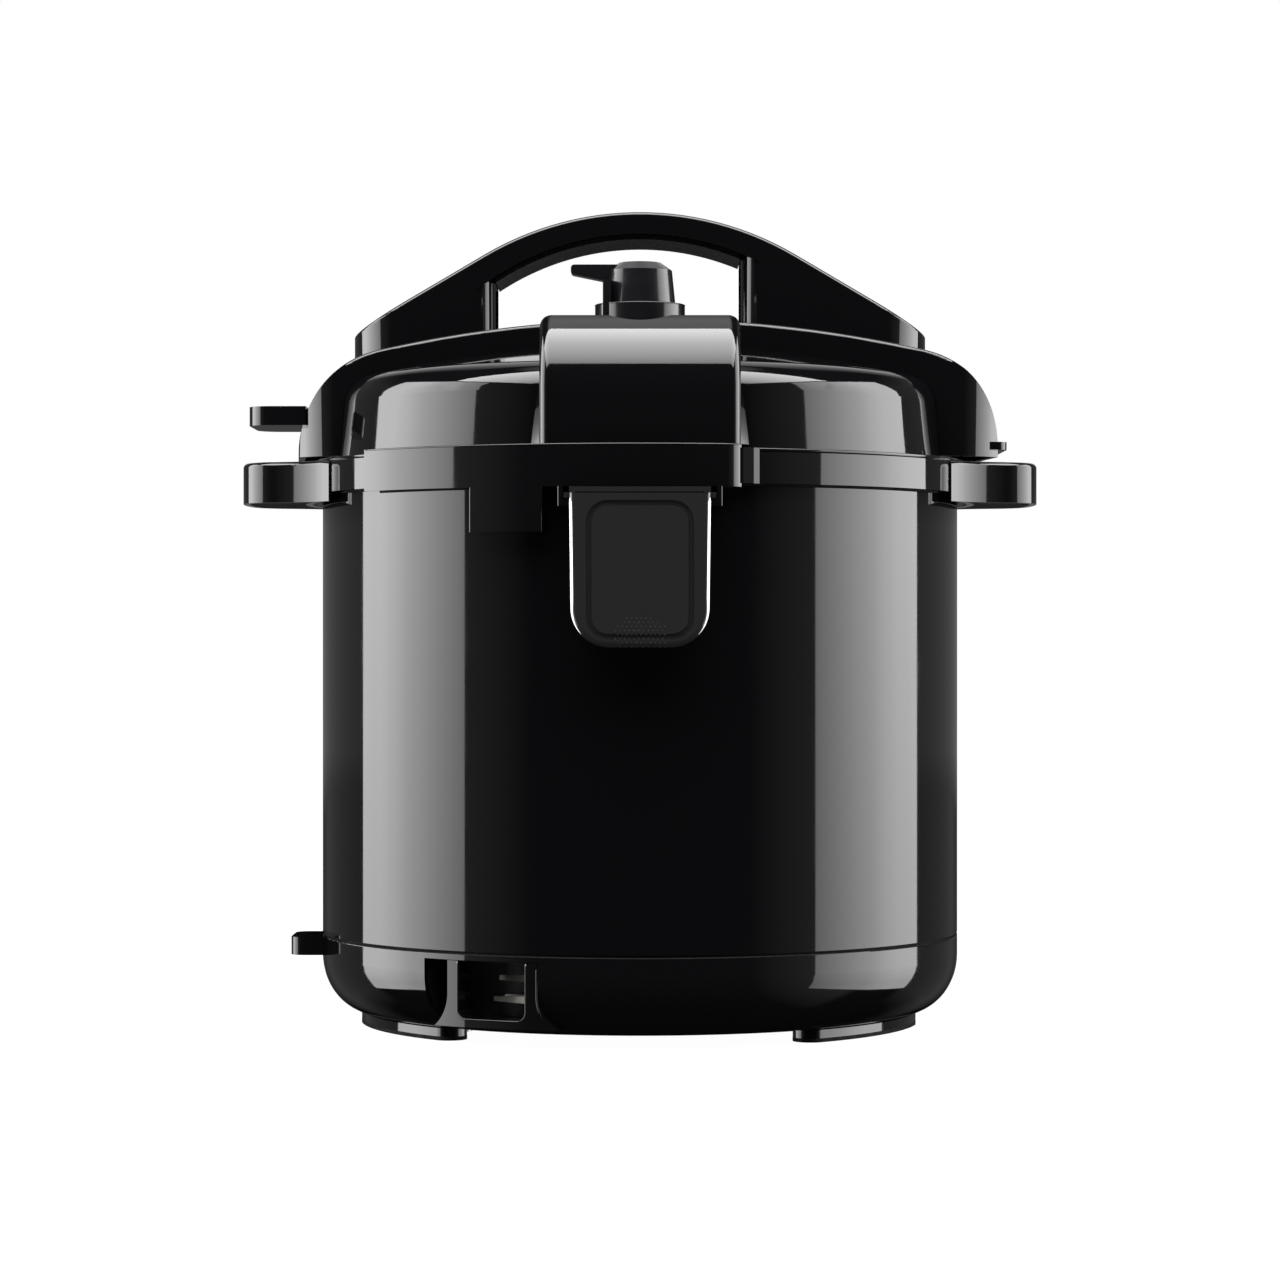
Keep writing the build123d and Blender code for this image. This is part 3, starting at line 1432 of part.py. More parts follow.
with BuildPart() as handle_pad:
    with BuildSketch(Plane.XZ):
        with BuildLine():
            pad_left = grip_left - insert_play
            pad_right = grip_right - insert_play
            pad_outer = grip_under_arc - seat
            pad_inner = grip_under_arc - insert_thickness
            upper = CenterArc((0, under_centre), pad_outer, *under_arc(pad_outer, pad_left, pad_right))
            lower = CenterArc((0, under_centre), pad_inner, *under_arc(pad_inner, pad_left, pad_right))
            Line(upper @ 0, lower @ 0)
            Line(upper @ 1, lower @ 1)
        make_face()
    extrude(amount=grip_half_depth - insert_setback, both=True)
handle_pad.part.label = "handle_pad"
export_step(handle_pad.part, "parts/handle_pad.step")

# Crown screws: driven up through the dome into the crown
screw_reach = sqrt(crown_screw_x**2 + crown_screw_y**2) + screw_head
under_dome = dome_top - dome_arc + sqrt((dome_arc - shell_wall) ** 2 - screw_reach**2) - seat
with BuildPart() as crown_screws:
    with BuildSketch(Plane.XY.offset(under_dome - screw_head_height)):
        with GridLocations(2 * crown_screw_x, 2 * crown_screw_y, 2, 2):
            Circle(screw_head)
    extrude(amount=screw_head_height)
    with BuildSketch(Plane.XY.offset(under_dome)):
        with GridLocations(2 * crown_screw_x, 2 * crown_screw_y, 2, 2):
            Circle(screw_radius)
    extrude(amount=crown_screw_length)
crown_screws.part.label = "crown_screws"
export_step(crown_screws.part, "parts/crown_screws.step")

# Steam release: a knob with a lever, loose on a pipe that is bolted through the lid
valve_bottom = well_floor + valve_gap
valve_top = valve_bottom + valve_height
flange_top = valve_bottom + valve_flange
lever_top = valve_top - lever_drop
pipe_top = valve_bottom + pipe_above
with BuildPart() as steam_valve:
    with BuildSketch(Plane.XY.offset(valve_bottom)):
        with Locations((0, -valve_place)):
            Circle(valve_radius)
    extrude(amount=valve_flange)
    with BuildSketch(Plane.XY.offset(flange_top)):
        with Locations((0, -valve_place)):
            Circle(valve_cone)
    with BuildSketch(Plane.XY.offset(valve_top)):
        with Locations((0, -valve_place)):
            Circle(valve_cone_top)
    loft()
    chamfer(edges().group_by(Axis.Z)[-1], length=valve_bevel_height, length2=valve_bevel)
    with BuildSketch(Plane.XZ.offset(valve_place)):
        with BuildLine():
            Polyline(
                (0, lever_top),
                (-lever_reach, lever_top),
                (-lever_reach, lever_top - lever_thickness),
                (-web_place, lever_top - lever_root),
                (0, lever_top - lever_root),
                close=True,
            )
        make_face()
        fillet(vertices().group_by(Axis.X)[0], radius=lever_round)
    extrude(amount=lever_width / 2, both=True)
    with BuildSketch(Plane.XY.offset(valve_bottom)):
        with Locations((-web_place, -valve_place)):
            Rectangle(web_thickness, web_width)
    extrude(amount=lever_top - lever_root - valve_bottom)
    with BuildSketch(Plane.XY.offset(valve_bottom)):
        with Locations((0, -valve_place)):
            Circle(pipe_radius + valve_bore_fit)
    extrude(amount=pipe_above + valve_gap, mode=Mode.SUBTRACT)
steam_valve.part.label = "steam_valve"
export_step(steam_valve.part, "parts/steam_valve.step")

with BuildPart() as steam_pipe:
    with BuildSketch(Plane.XY.offset(plateau_under)):
        with Locations((0, -valve_place)):
            Circle(pipe_radius)
    extrude(amount=pipe_top - plateau_under)
    with BuildSketch(Plane.XY.offset(plateau_top)):
        with Locations((0, -valve_place)):
            Circle(pipe_flange)
    extrude(amount=pipe_flange_height)
    with BuildSketch(Plane.XY.offset(plateau_under)):
        with Locations((0, -valve_place)):
            RegularPolygon(pipe_flange, 6)
    extrude(amount=-pipe_nut_height)
    with BuildSketch(Plane.XY.offset(plateau_under - pipe_nut_height)):
        with Locations((0, -valve_place)):
            Circle(pipe_bore)
    extrude(amount=2 * crown_rise, mode=Mode.SUBTRACT)
steam_pipe.part.label = "steam_pipe"
export_step(steam_pipe.part, "parts/steam_pipe.step")

shield_bore = pipe_flange + shield_gap
with BuildPart() as anti_block_shield:
    with BuildSketch(Plane.XY.offset(plateau_under)):
        with Locations((0, -valve_place)):
            Circle(shield_bore + shield_wall)
    extrude(amount=-shield_height)
    with BuildSketch(Plane.XY.offset(plateau_under)):
        with Locations((0, -valve_place)):
            Circle(shield_bore)
    extrude(amount=-(shield_height - shield_wall), mode=Mode.SUBTRACT)
    with BuildSketch(Plane.XY.offset(plateau_under - shield_height + 2 * shield_wall)):
        with Locations((0, -valve_place)):
            with PolarLocations(shield_bore, shield_slots):
                Rectangle(4 * shield_wall, shield_slot_width)
    extrude(amount=shield_slot_height, mode=Mode.SUBTRACT)
anti_block_shield.part.label = "anti_block_shield"
export_step(anti_block_shield.part, "parts/anti_block_shield.step")

# Float valve: a pin that rises through the lid under pressure, its seal and its guide
float_edge = float_place + float_radius - crown_shift
float_top = crown_centre + sqrt(crown_arc**2 - float_edge**2)
float_seal_top = plateau_under - float_lift - float_fit
float_head_top = float_seal_top - float_seal_height
with BuildPart() as float_valve:
    with BuildSketch(Plane.XY.offset(float_head_top - float_head_height)):
        with Locations((float_place, 0)):
            Circle(float_head)
    extrude(amount=float_head_height)
    with BuildSketch(Plane.XY.offset(float_head_top)):
        with Locations((float_place, 0)):
            Circle(float_radius)
    extrude(amount=float_top - float_head_top)
    fillet(edges().group_by(Axis.Z)[-1], radius=float_round)
float_valve.part.label = "float_valve"
export_step(float_valve.part, "parts/float_valve.step")

with BuildPart() as float_seal:
    with BuildSketch(Plane.XY.offset(float_head_top)):
        with Locations((float_place, 0)):
            Circle(float_head)
            Circle(float_hole - float_fit, mode=Mode.SUBTRACT)
    extrude(amount=float_seal_height)
float_seal.part.label = "float_seal"
export_step(float_seal.part, "parts/float_seal.step")

with BuildPart() as float_guide:
    with BuildSketch(Plane.XY.offset(plateau_top)):
        with Locations((float_place, 0)):
            Circle(float_hole + 2 * guide_bush_wall)
    extrude(amount=guide_bush_flange)
    with BuildSketch(Plane.XY.offset(plateau_top)):
        with Locations((float_place, 0)):
            Circle(float_hole + guide_bush_wall)
    extrude(amount=guide_bush_height)
    with BuildSketch(Plane.XY.offset(plateau_top)):
        with Locations((float_place, 0)):
            Circle(float_hole)
    extrude(amount=guide_bush_height, mode=Mode.SUBTRACT)
float_guide.part.label = "float_guide"
export_step(float_guide.part, "parts/float_guide.step")
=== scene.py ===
import bmesh
import bpy
import numpy as np
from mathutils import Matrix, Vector


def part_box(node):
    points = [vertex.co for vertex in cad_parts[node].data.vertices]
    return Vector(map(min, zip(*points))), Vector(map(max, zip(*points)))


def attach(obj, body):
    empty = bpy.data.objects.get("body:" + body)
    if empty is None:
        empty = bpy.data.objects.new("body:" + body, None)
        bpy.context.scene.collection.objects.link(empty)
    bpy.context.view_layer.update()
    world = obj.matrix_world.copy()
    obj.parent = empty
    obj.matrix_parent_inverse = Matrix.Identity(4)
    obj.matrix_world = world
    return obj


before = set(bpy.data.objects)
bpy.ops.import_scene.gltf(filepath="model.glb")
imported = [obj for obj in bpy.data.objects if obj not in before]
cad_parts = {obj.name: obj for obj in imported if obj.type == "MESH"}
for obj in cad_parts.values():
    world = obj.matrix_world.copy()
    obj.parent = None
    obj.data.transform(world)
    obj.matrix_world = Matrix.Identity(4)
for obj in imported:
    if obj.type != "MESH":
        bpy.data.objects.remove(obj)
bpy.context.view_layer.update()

# Base ring, with the cord hook moulded on its left side.
# Injection-moulded ABS with a high polish; it carries the sleeve and is screwed to the bottom plate.
mm = 0.001


def linear(code):
    """Linear RGBA of an sRGB hex colour: each channel goes through the sRGB curve backwards."""
    rgb = np.array([int(code[i:i + 2], 16) for i in (1, 3, 5)]) / 255
    rgb = np.where(rgb <= 0.04045, rgb / 12.92, ((rgb + 0.055) / 1.055) ** 2.4)
    return (*rgb.tolist(), 1.0)


def add(tree, kind, settings=None, *ordered, **named):
    """Adds one node with its settings. An input, by order or by name, is a value or another node's output."""
    made = tree.nodes.new(kind)
    for key, value in (settings or {}).items():
        setattr(made, key, value)
    inputs = list(zip(made.inputs, ordered))
    inputs += [(made.inputs[key.replace("_", " ")], value) for key, value in named.items()]
    for socket, value in inputs:
        if isinstance(value, bpy.types.NodeSocket):
            tree.links.new(value, socket)
        else:
            socket.default_value = value
    return made


def finish(name, colour, roughness, **sockets):
    """A material on the standard shader, with the constant sockets set on the shader itself."""
    made = bpy.data.materials.new(name)
    made.use_nodes = True
    shader = made.node_tree.nodes["Principled BSDF"]
    shader.inputs["Base Color"].default_value = linear(colour)
    shader.inputs["Roughness"].default_value = roughness
    for key, value in sockets.items():
        shader.inputs[key.replace("_", " ")].default_value = value
    place = add(made.node_tree, "ShaderNodeTexCoord").outputs["Object"]
    return made, made.node_tree, shader, place


def vary(tree, shader, socket, pattern, low, high, start=0.35, stop=0.7):
    """Drives a shader socket with a pattern, from low where it is at start to high where it is at stop."""
    span = add(tree, "ShaderNodeMapRange", Value=pattern, From_Min=start, From_Max=stop,
               To_Min=low, To_Max=high)
    tree.links.new(span.outputs["Result"], shader.inputs[socket])


def emboss(tree, shader, pattern, strength, depth):
    """Gives the shader a relief of a real depth that follows a pattern."""
    skin = add(tree, "ShaderNodeBump", Strength=strength, Distance=depth, Height=pattern)
    tree.links.new(skin.outputs["Normal"], shader.inputs["Normal"])


def dress(material, *names):
    """Gives CAD nodes their material."""
    for name in names:
        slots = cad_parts[name].data.materials
        slots.clear()
        slots.append(material)


# Polished black ABS: a deep black with a mirror skin. Handling leaves soft smears about 30 mm
# across that only show as a change of gloss, and the moulding has a faint orange peel of 4 mm.
gloss_abs, tree, shader, place = finish("polished black ABS", "#070708", 0.05, IOR=1.53)
smear = add(tree, "ShaderNodeTexNoise", Vector=place, Scale=1 / (30 * mm), Detail=4.0, Roughness=0.6)
vary(tree, shader, "Roughness", smear.outputs["Fac"], 0.03, 0.08)
peel = add(tree, "ShaderNodeTexNoise", Vector=place, Scale=1 / (4 * mm), Detail=1.0)
emboss(tree, shader, peel.outputs["Fac"], 0.03, 0.1 * mm)
dress(gloss_abs, "base_ring")

# Mains inlet: an upright bell-shaped ABS frame, a textured tray behind it and three plated blades
# that stand out of the socket block sideways, so that the plug lies along the base.
dress(gloss_abs, "inlet_frame")

# Spark-eroded ABS: the mould's fine grain, a little over half a millimetre, makes it dull.
matte_abs, tree, shader, place = finish("spark-eroded black ABS", "#101010", 0.45, IOR=1.53)
grain = add(tree, "ShaderNodeTexNoise", Vector=place, Scale=1 / (0.6 * mm), Detail=2.0)
emboss(tree, shader, grain.outputs["Fac"], 0.25, 0.1 * mm)
dress(matte_abs, "inlet_tray", "inlet_socket", "lid_switch", "pressure_switch")

# Bright nickel over brass: drawn stock with fine lines half a millimetre apart.
nickel, tree, shader, place = finish("nickel-plated brass", "#c9c6bf", 0.5, Metallic=1.0)
drawn = add(tree, "ShaderNodeTexNoise", Vector=place, Scale=1 / (0.5 * mm), Detail=2.0)
vary(tree, shader, "Roughness", drawn.outputs["Fac"], 0.42, 0.6)
dress(nickel, "inlet_pins")

# Bottom plate, screws, posts, sensor bracket and spring, ring rack and float: pressed, turned or wound
# from steel. Their zinc plate has crystals a few millimetres across that differ a little in gloss.
zinc, tree, shader, place = finish("zinc-plated steel", "#c9cac6", 0.4, Metallic=1.0)
spangle = add(tree, "ShaderNodeTexVoronoi", Vector=place, Scale=1 / (3 * mm))
vary(tree, shader, "Roughness", spangle.outputs["Distance"], 0.32, 0.5, start=0.0, stop=0.8)
dress(zinc, "bottom_plate", "base_screws", "crown_screws", "heater_posts", "sensor_bracket",
      "sensor_spring", "ring_rack", "float_valve")

# Feet: four curved pads of the same polished ABS, moulded under the base ring.
# A dark band of rubber runs round the bottom of each; it is partly painted shade on the foot's lower round.
dress(gloss_abs, "feet")


def piece(name, verts, faces, material, body, smooth=True):
    """A new mesh in the shared frame, riding on a CAD body.

    Points that meet are merged, which closes its seams and poles.
    """
    mesh = bpy.data.meshes.new(name)
    mesh.from_pydata(np.asarray(verts).reshape(-1, 3).tolist(), [], np.asarray(faces).tolist())
    meeting = 0.001 * mm
    shell = bmesh.new()
    shell.from_mesh(mesh)
    bmesh.ops.remove_doubles(shell, verts=shell.verts, dist=meeting)
    shell.to_mesh(mesh)
    shell.free()
    mesh.polygons.foreach_set("use_smooth", [smooth] * len(mesh.polygons))
    mesh.materials.append(material)
    made = bpy.data.objects.new(name, mesh)
    bpy.context.scene.collection.objects.link(made)
    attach(made, body)


def grid_faces(rows, columns, count=1):
    """Quads of one or more grids of points, each numbered row by row, one grid after the other."""
    first = (np.arange(rows - 1)[:, None] * columns + np.arange(columns - 1)).reshape(-1, 1)
    quads = first + np.array([0, 1, columns + 1, columns])
    return (quads + rows * columns * np.arange(count)[:, None, None]).reshape(-1, 4)


sleeve_low, sleeve_high = (np.array(corner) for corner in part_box("housing_sleeve"))
foot_setback, foot_width, foot_round = 16.5 * mm, 14 * mm, 6.8 * mm
foot_outer = sleeve_high[0] - foot_setback
foot_inner = foot_outer - foot_width
foot_arc, foot_apart, foot_turn = np.radians([46.7, 37.3, 2.9])


def pad_outline(start, stop):
    """Outline of a curved pad and its outward ways: a sector of a ring with rounded corners.

    It runs along the outer arc, round one end, along the inner arc and round the other end. Each run is a
    place, as reach and angle, plus a radius times the outward way, which turns between two angles.
    """
    quarter, half = np.pi / 2, np.pi
    far, near = foot_outer - foot_round, foot_inner + foot_round
    lean_out, lean_in = np.arcsin(foot_round / far), np.arcsin(foot_round / near)
    out_start, out_stop = start + lean_out, stop - lean_out
    in_start, in_stop = start + lean_in, stop - lean_in
    arc_steps, round_steps = 40, 10
    runs = [(0, 0, foot_outer, out_start, out_stop, arc_steps),
            (far, out_stop, foot_round, out_stop, stop + quarter, round_steps),
            (near, in_stop, foot_round, stop + quarter, in_stop + half, round_steps),
            (0, 0, -foot_inner, in_stop + half, in_start + half, arc_steps),
            (near, in_start, foot_round, in_start + half, start + half + quarter, round_steps),
            (far, out_start, foot_round, start + half + quarter, out_start + 2 * half, round_steps)]
    angles = [np.linspace(first, last, count) for *_, first, last, count in runs]
    ways = [np.stack([np.cos(angle), np.sin(angle)], axis=1) for angle in angles]
    points = [reach * np.array([np.cos(at), np.sin(at)]) + radius * way
              for (reach, at, radius, *_), way in zip(runs, ways)]
    return np.concatenate(points), np.concatenate(ways)


# Moulded EPDM rubber: dull and nearly black, with a cloudy bloom about 2 mm across. Its dark bands are
# painted shade in the seam above the base and under the rim, and partly painted shade on the feet.
rubber_and_painted_shade, tree, shader, place = finish("black EPDM rubber and painted shade", "#090909", 0.7, Specular_IOR_Level=0.1)
bloom = add(tree, "ShaderNodeTexNoise", Vector=place, Scale=1 / (2 * mm), Detail=3.0)
vary(tree, shader, "Roughness", bloom.outputs["Fac"], 0.6, 0.8)
# Dark band round each foot: rubber, and partly painted shade on the foot's lower round.
band_proud, band_sunk, band_height, band_lift = 0.05 * mm, 0.4 * mm, 1.6 * mm, 0.02 * mm
band_out = np.array([band_proud, band_proud, -band_sunk, -band_sunk, band_proud])[:, None, None]
band_up = np.array([band_height, band_lift, band_lift, band_height, band_height])[:, None, None]
pair_middles = np.array([-np.pi / 2, np.pi / 2]) - foot_turn
bands = []
for start in np.add.outer(pair_middles, [-foot_apart - foot_arc, foot_apart]).ravel():
    line, ways = pad_outline(start, start + foot_arc)
    flat = line + band_out * ways
    bands.append(np.concatenate([flat, np.broadcast_to(band_up, (*flat.shape[:2], 1))], axis=2))
band_faces = grid_faces(*bands[0].shape[:2], len(bands))[:, ::-1]
piece("foot_bands_and_painted_shade", np.stack(bands), band_faces, rubber_and_painted_shade, "base", smooth=False)

# Seam between base and sleeve: painted shade, a thin dark ring of rubber that lies in it, with a lip over
# the edge of the base. It stands in for the shadow in the gap.
seam, base_edge, clear = 1.0 * mm, 0.6 * mm, 0.04 * mm
wall_in, wall_bevel = 0.95 * mm, 0.1 * mm


def spun(reach, height, steps):
    """Profile turned round the body's axis: x and y are its reach times the cosine and sine of the turn.

    The height has one column for a plain profile, or a column for each step of the turn.
    """
    turn = np.linspace(0, 2 * np.pi, steps)
    x, y = reach[:, None] * np.cos(turn), reach[:, None] * np.sin(turn)
    return np.stack([x, y, height + 0 * turn], axis=-1), grid_faces(len(reach), steps)


lip_start, lip_steps, seam_steps = 20, 8, 241
lip_turn = np.radians(np.linspace(lip_start, 90, lip_steps))
lip_r = sleeve_high[0] - base_edge + (base_edge + clear) * np.cos(lip_turn)
lip_z = sleeve_low[2] - seam - base_edge + (base_edge + clear) * np.sin(lip_turn)
wall_r = sleeve_high[0] - wall_in + np.array([wall_bevel, 0, 0])
wall_z = sleeve_low[2] - wall_in + np.array([0, wall_bevel, wall_in])
ring, faces = spun(np.append(lip_r, wall_r), np.append(lip_z, wall_z)[:, None], seam_steps)
piece("seam_painted_shade", ring, faces, rubber_and_painted_shade, "base")

# Bead round the inlet's mouth: a fine rib moulded on the ABS frame, down one side, along the sill and
# up the other. It follows the round of the base.
inlet_turn = np.radians(-26)
mouth_half, mouth_low, mouth_high, mouth_round = 15.3 * mm, 11.5 * mm, 34.4 * mm, 3.8 * mm
bead, bead_sunk, bead_sides = 0.4 * mm, 0.3 * mm, 13
bead_radius = sleeve_high[0] - bead_sunk
upward = np.array([0.0, 0.0, 1.0])


def mouth_path(steps):
    """Right half of the mouth's edge as sideways place, height and way out: up from the middle of the sill.

    It is the straight sill, a quarter round and the straight side, one after the other.
    """
    sill = np.linspace(0, mouth_half - mouth_round, steps)
    turn = np.linspace(-np.pi / 2, 0, steps)
    side = np.linspace(mouth_low + mouth_round, mouth_high, steps)
    corner_u = mouth_half - mouth_round + mouth_round * np.cos(turn)
    corner_v = mouth_low + mouth_round + mouth_round * np.sin(turn)
    u = np.concatenate([sill, corner_u, np.full(steps, mouth_half)])
    v = np.concatenate([np.full(steps, mouth_low), corner_v, side])
    way = np.concatenate([np.full(steps, -np.pi / 2), turn, np.zeros(steps)])
    return u, v, way


def rod(path, away, across, thick, sides):
    """Round rod along a path: each place has a circle of its own thickness in the plane of two ways."""
    wrap = np.linspace(0, 2 * np.pi, sides)[None, :, None]
    away, across = (np.broadcast_to(way, path.shape)[:, None] for way in (away, across))
    return path[:, None] + thick[:, None, None] * (np.cos(wrap) * away + np.sin(wrap) * across)


def face_rib(u, v, way, thick):
    """Rod along a line on the frame's curved face, given as sideways place, height and the way across it.

    Each place lies on the round of the base, and its circle is in the plane of the face's outward way and
    the way across the line.
    """
    outward = np.array([np.sin(inlet_turn), -np.cos(inlet_turn), 0])
    sideways = np.array([np.cos(inlet_turn), np.sin(inlet_turn), 0])
    side_share = (u / bead_radius)[:, None]
    out_share = np.sqrt(1 - side_share**2)
    away = out_share * outward + side_share * sideways
    along_face = out_share * sideways - side_share * outward
    across = np.cos(way)[:, None] * along_face + np.sin(way)[:, None] * upward
    return rod(bead_radius * away + v[:, None] * upward, away, across, thick, bead_sides)


mouth_steps = 12
u, v, way = mouth_path(mouth_steps)
u, v, way = (np.append(left[::-1], right) for left, right in ((-u, u), (v, v), (np.pi - way, way)))
thick = np.pad(np.full(len(u), bead), 1)
u, v, way = (np.pad(value, 1, mode="edge") for value in (u, v, way))
faces = grid_faces(len(u), bead_sides)
piece("inlet_bead", face_rib(u, v, way, thick), faces, gloss_abs, "base")

# Rib on the right side of the ABS frame, moulded with it: straight at the top, then out along the bell.
# It thins to nothing towards its foot.
inlet_low, inlet_high = (np.array(corner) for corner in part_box("inlet_frame"))
bell_half, bell_flare = 19.8 * mm, 6.4 * mm
bell_drop = (inlet_high[2] - inlet_low[2]) / 2
bell_knee = inlet_low[2] + bell_drop
bell_round = (bell_flare**2 + bell_drop**2) / (2 * bell_flare)
rib_gap, rib_share, rib_fade = 1 * mm, 0.8, 2.5
straight_steps, flare_steps = 8, 20
rib_steps = straight_steps + flare_steps
straight = np.linspace(inlet_high[2] - rib_gap, bell_knee + rib_gap, straight_steps)
flare = np.linspace(0, rib_share * np.arcsin(bell_drop / bell_round), flare_steps)
u = bell_half + np.append(np.zeros(straight_steps), bell_round * (1 - np.cos(flare)))
v = np.append(straight, bell_knee - bell_round * np.sin(flare))
way = np.append(np.zeros(straight_steps), flare)
thick = bead * np.clip(np.linspace(rib_fade, 0, rib_steps), 0, 1)
thick[0] = 0
faces = grid_faces(rib_steps, bead_sides)[:, ::-1]
piece("inlet_side_rib", face_rib(u, v, way, thick), faces, gloss_abs, "base")

# Power board and control board: glass-fibre circuit boards with a green mask over copper tracks.
# The tracks show through the mask as a lighter green, about 12 mm apart.
board, tree, shader, place = finish("green solder mask on FR-4", "#1c5a2e", 0.35)
tracks = add(tree, "ShaderNodeTexBrick", {"offset": 0.5}, Vector=place, Scale=1 / (12 * mm), Mortar_Size=0.04,
             Color1=linear("#1c5a2e"), Color2=linear("#174c27"), Mortar=linear("#3f8a4a"))
tree.links.new(tracks.outputs["Color"], shader.inputs["Base Color"])
dress(board, "power_board", "control_board")

# Sleeve and lid shell: drawn steel, coated gloss black and baked. The coat has a finer, flatter
# skin than the mouldings and faint wipe marks about 45 mm across.
black_steel, tree, shader, place = finish("gloss black coated steel", "#060607", 0.05, IOR=1.5)
wipe = add(tree, "ShaderNodeTexNoise", Vector=place, Scale=1 / (45 * mm), Detail=5.0, Roughness=0.6)
vary(tree, shader, "Roughness", wipe.outputs["Fac"], 0.03, 0.075)
fleck = add(tree, "ShaderNodeTexNoise", Vector=place, Scale=1 / (0.5 * mm), Detail=1.0)
emboss(tree, shader, fleck.outputs["Fac"], 0.02, 0.02 * mm)
dress(black_steel, "housing_sleeve", "lid_shell")

# Rim, side handles, the cover over the back of the rim and the cup's rails: polished black ABS,
# clipped to the body from above. The rim's top edge is crisp, with a fine round.
dress(gloss_abs, "rim_ring", "left_handle", "right_handle", "rear_rim_cover", "cup_rails")

rim_high = np.array(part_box("rim_ring")[1])
edge_round, edge_lap = 0.4 * mm, 1.5 * mm
edge_out, edge_in = rim_high[0] + clear, rim_high[0] - edge_lap
edge_top, edge_under = rim_high[2] + clear, rim_high[2] - edge_lap
bend = np.radians(np.linspace(0, 90, 9))
bend_r, bend_z = edge_out + edge_round * (np.cos(bend) - 1), edge_top + edge_round * (np.sin(bend) - 1)
edge_r = np.concatenate([[edge_out], bend_r, [edge_in, edge_in, edge_out]])
edge_z = np.concatenate([[edge_under], bend_z, [edge_top, edge_under, edge_under]])
rim_steps = 721
edge, faces = spun(edge_r, edge_z[:, None], rim_steps)
piece("rim_edge", edge, faces, gloss_abs, "base")

# Top edge of the rear cover: the same fine round, moulded on it. It follows the cover's face, which
# turns in at the right with a tighter round. The angles are in degrees from the middle of the back.
cover_low, cover_high = (np.array(corner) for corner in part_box("rear_rim_cover"))
cover_radius = -cover_low[1]
cover_nose, cover_set = 10 * mm, 0.28 * mm
cover_left, cover_bend, cover_end = -51, 13.6, 57
face_steps, nose_steps, edge_sides = 130, 30, 25
face_turn = np.radians(np.linspace(cover_left, cover_bend, face_steps))
nose_turn = np.radians(np.linspace(cover_bend, cover_end, nose_steps))
turn = np.append(face_turn, nose_turn)
cover_way = np.stack([np.sin(turn), -np.cos(turn), np.zeros_like(turn)], axis=1)
face_way, nose_way = cover_way[:face_steps], cover_way[face_steps:]
nose_middle = (cover_radius - cover_nose) * face_way[-1]
path = np.concatenate([(cover_radius - cover_set) * face_way,
                       nose_middle + (cover_nose - cover_set) * nose_way])
path[:, 2] = cover_high[2] - cover_set
thick = np.pad(np.full(len(path) - 2, edge_round), 1)
edge = rod(path, cover_way, upward, thick, edge_sides)
faces = grid_faces(len(path), edge_sides)[:, ::-1]
piece("cover_edge", edge, faces, gloss_abs, "base")

# Painted shade under the rim: a dark rubber lip, pressed in where it meets the sleeve, stands in for the
# shadow in the gap. It reaches lower behind the cover, whose bottom edge is lower than the rim's.
lip_proud, lip_sunk, lip_gap = 0.12 * mm, 0.7 * mm, 0.02 * mm
rim_depth, lip_drop, cover_drop = 14 * mm, 0.8 * mm, 1.95 * mm
lip_right = 16
lip_out, lip_in = sleeve_high[0] + lip_proud, sleeve_high[0] - lip_sunk
rim_bottom = rim_high[2] - rim_depth
turn = np.linspace(0, 2 * np.pi, rim_steps)
azimuth = np.degrees(np.arctan2(np.cos(turn), -np.sin(turn)))
behind_cover = (azimuth > cover_left) & (azimuth < lip_right)
lip_low = rim_bottom - np.where(behind_cover, cover_drop, lip_drop)
lip_high = np.full_like(turn, rim_bottom - lip_gap)
lip_r = np.array([lip_out, lip_out, lip_in, lip_in, lip_out])
lip, faces = spun(lip_r, np.stack([lip_low, lip_high, lip_high, lip_low, lip_low]), rim_steps)
piece("rim_painted_shade", lip, faces, rubber_and_painted_shade, "base", smooth=False)

# Condensation cup: smoke polycarbonate, thin-walled and polished. It slides into the rails from
# behind, and the lower part of its face has small raised dots to grip it by.
smoke, tree, shader, place = finish("smoke polycarbonate", "#272728", 0.08, IOR=1.58, Transmission_Weight=0.5)
haze = add(tree, "ShaderNodeTexNoise", Vector=place, Scale=1 / (8 * mm), Detail=3.0)
vary(tree, shader, "Roughness", haze.outputs["Fac"], 0.06, 0.14)
dress(smoke, "condensation_cup")

cup_low, cup_high = (np.array(corner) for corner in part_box("condensation_cup"))
cup_front = cup_low[1]
cup_ear, cup_corner, cup_edge, cup_draft = 2.2 * mm, 15 * mm, 2.4 * mm, 0.8 * mm
cup_half = cup_high[0] - cup_ear


def bumps(centres, radius, height, normal, across, sides, rings):
    """Low domes on a face: each is a cap whose height falls with the cosine of the way out to its edge."""
    out = np.cross(normal, across)
    way = np.linspace(0, 1, rings)[:, None, None]
    turn = np.linspace(0, 2 * np.pi, sides + 1)[None, :, None]
    disc = radius * way * (np.cos(turn) * across + np.sin(turn) * out)
    rise = height * np.cos(way * np.pi / 2) * normal
    verts = centres[:, None, None] + disc + rise
    return verts, grid_faces(rings, sides + 1, len(centres))[:, ::-1]


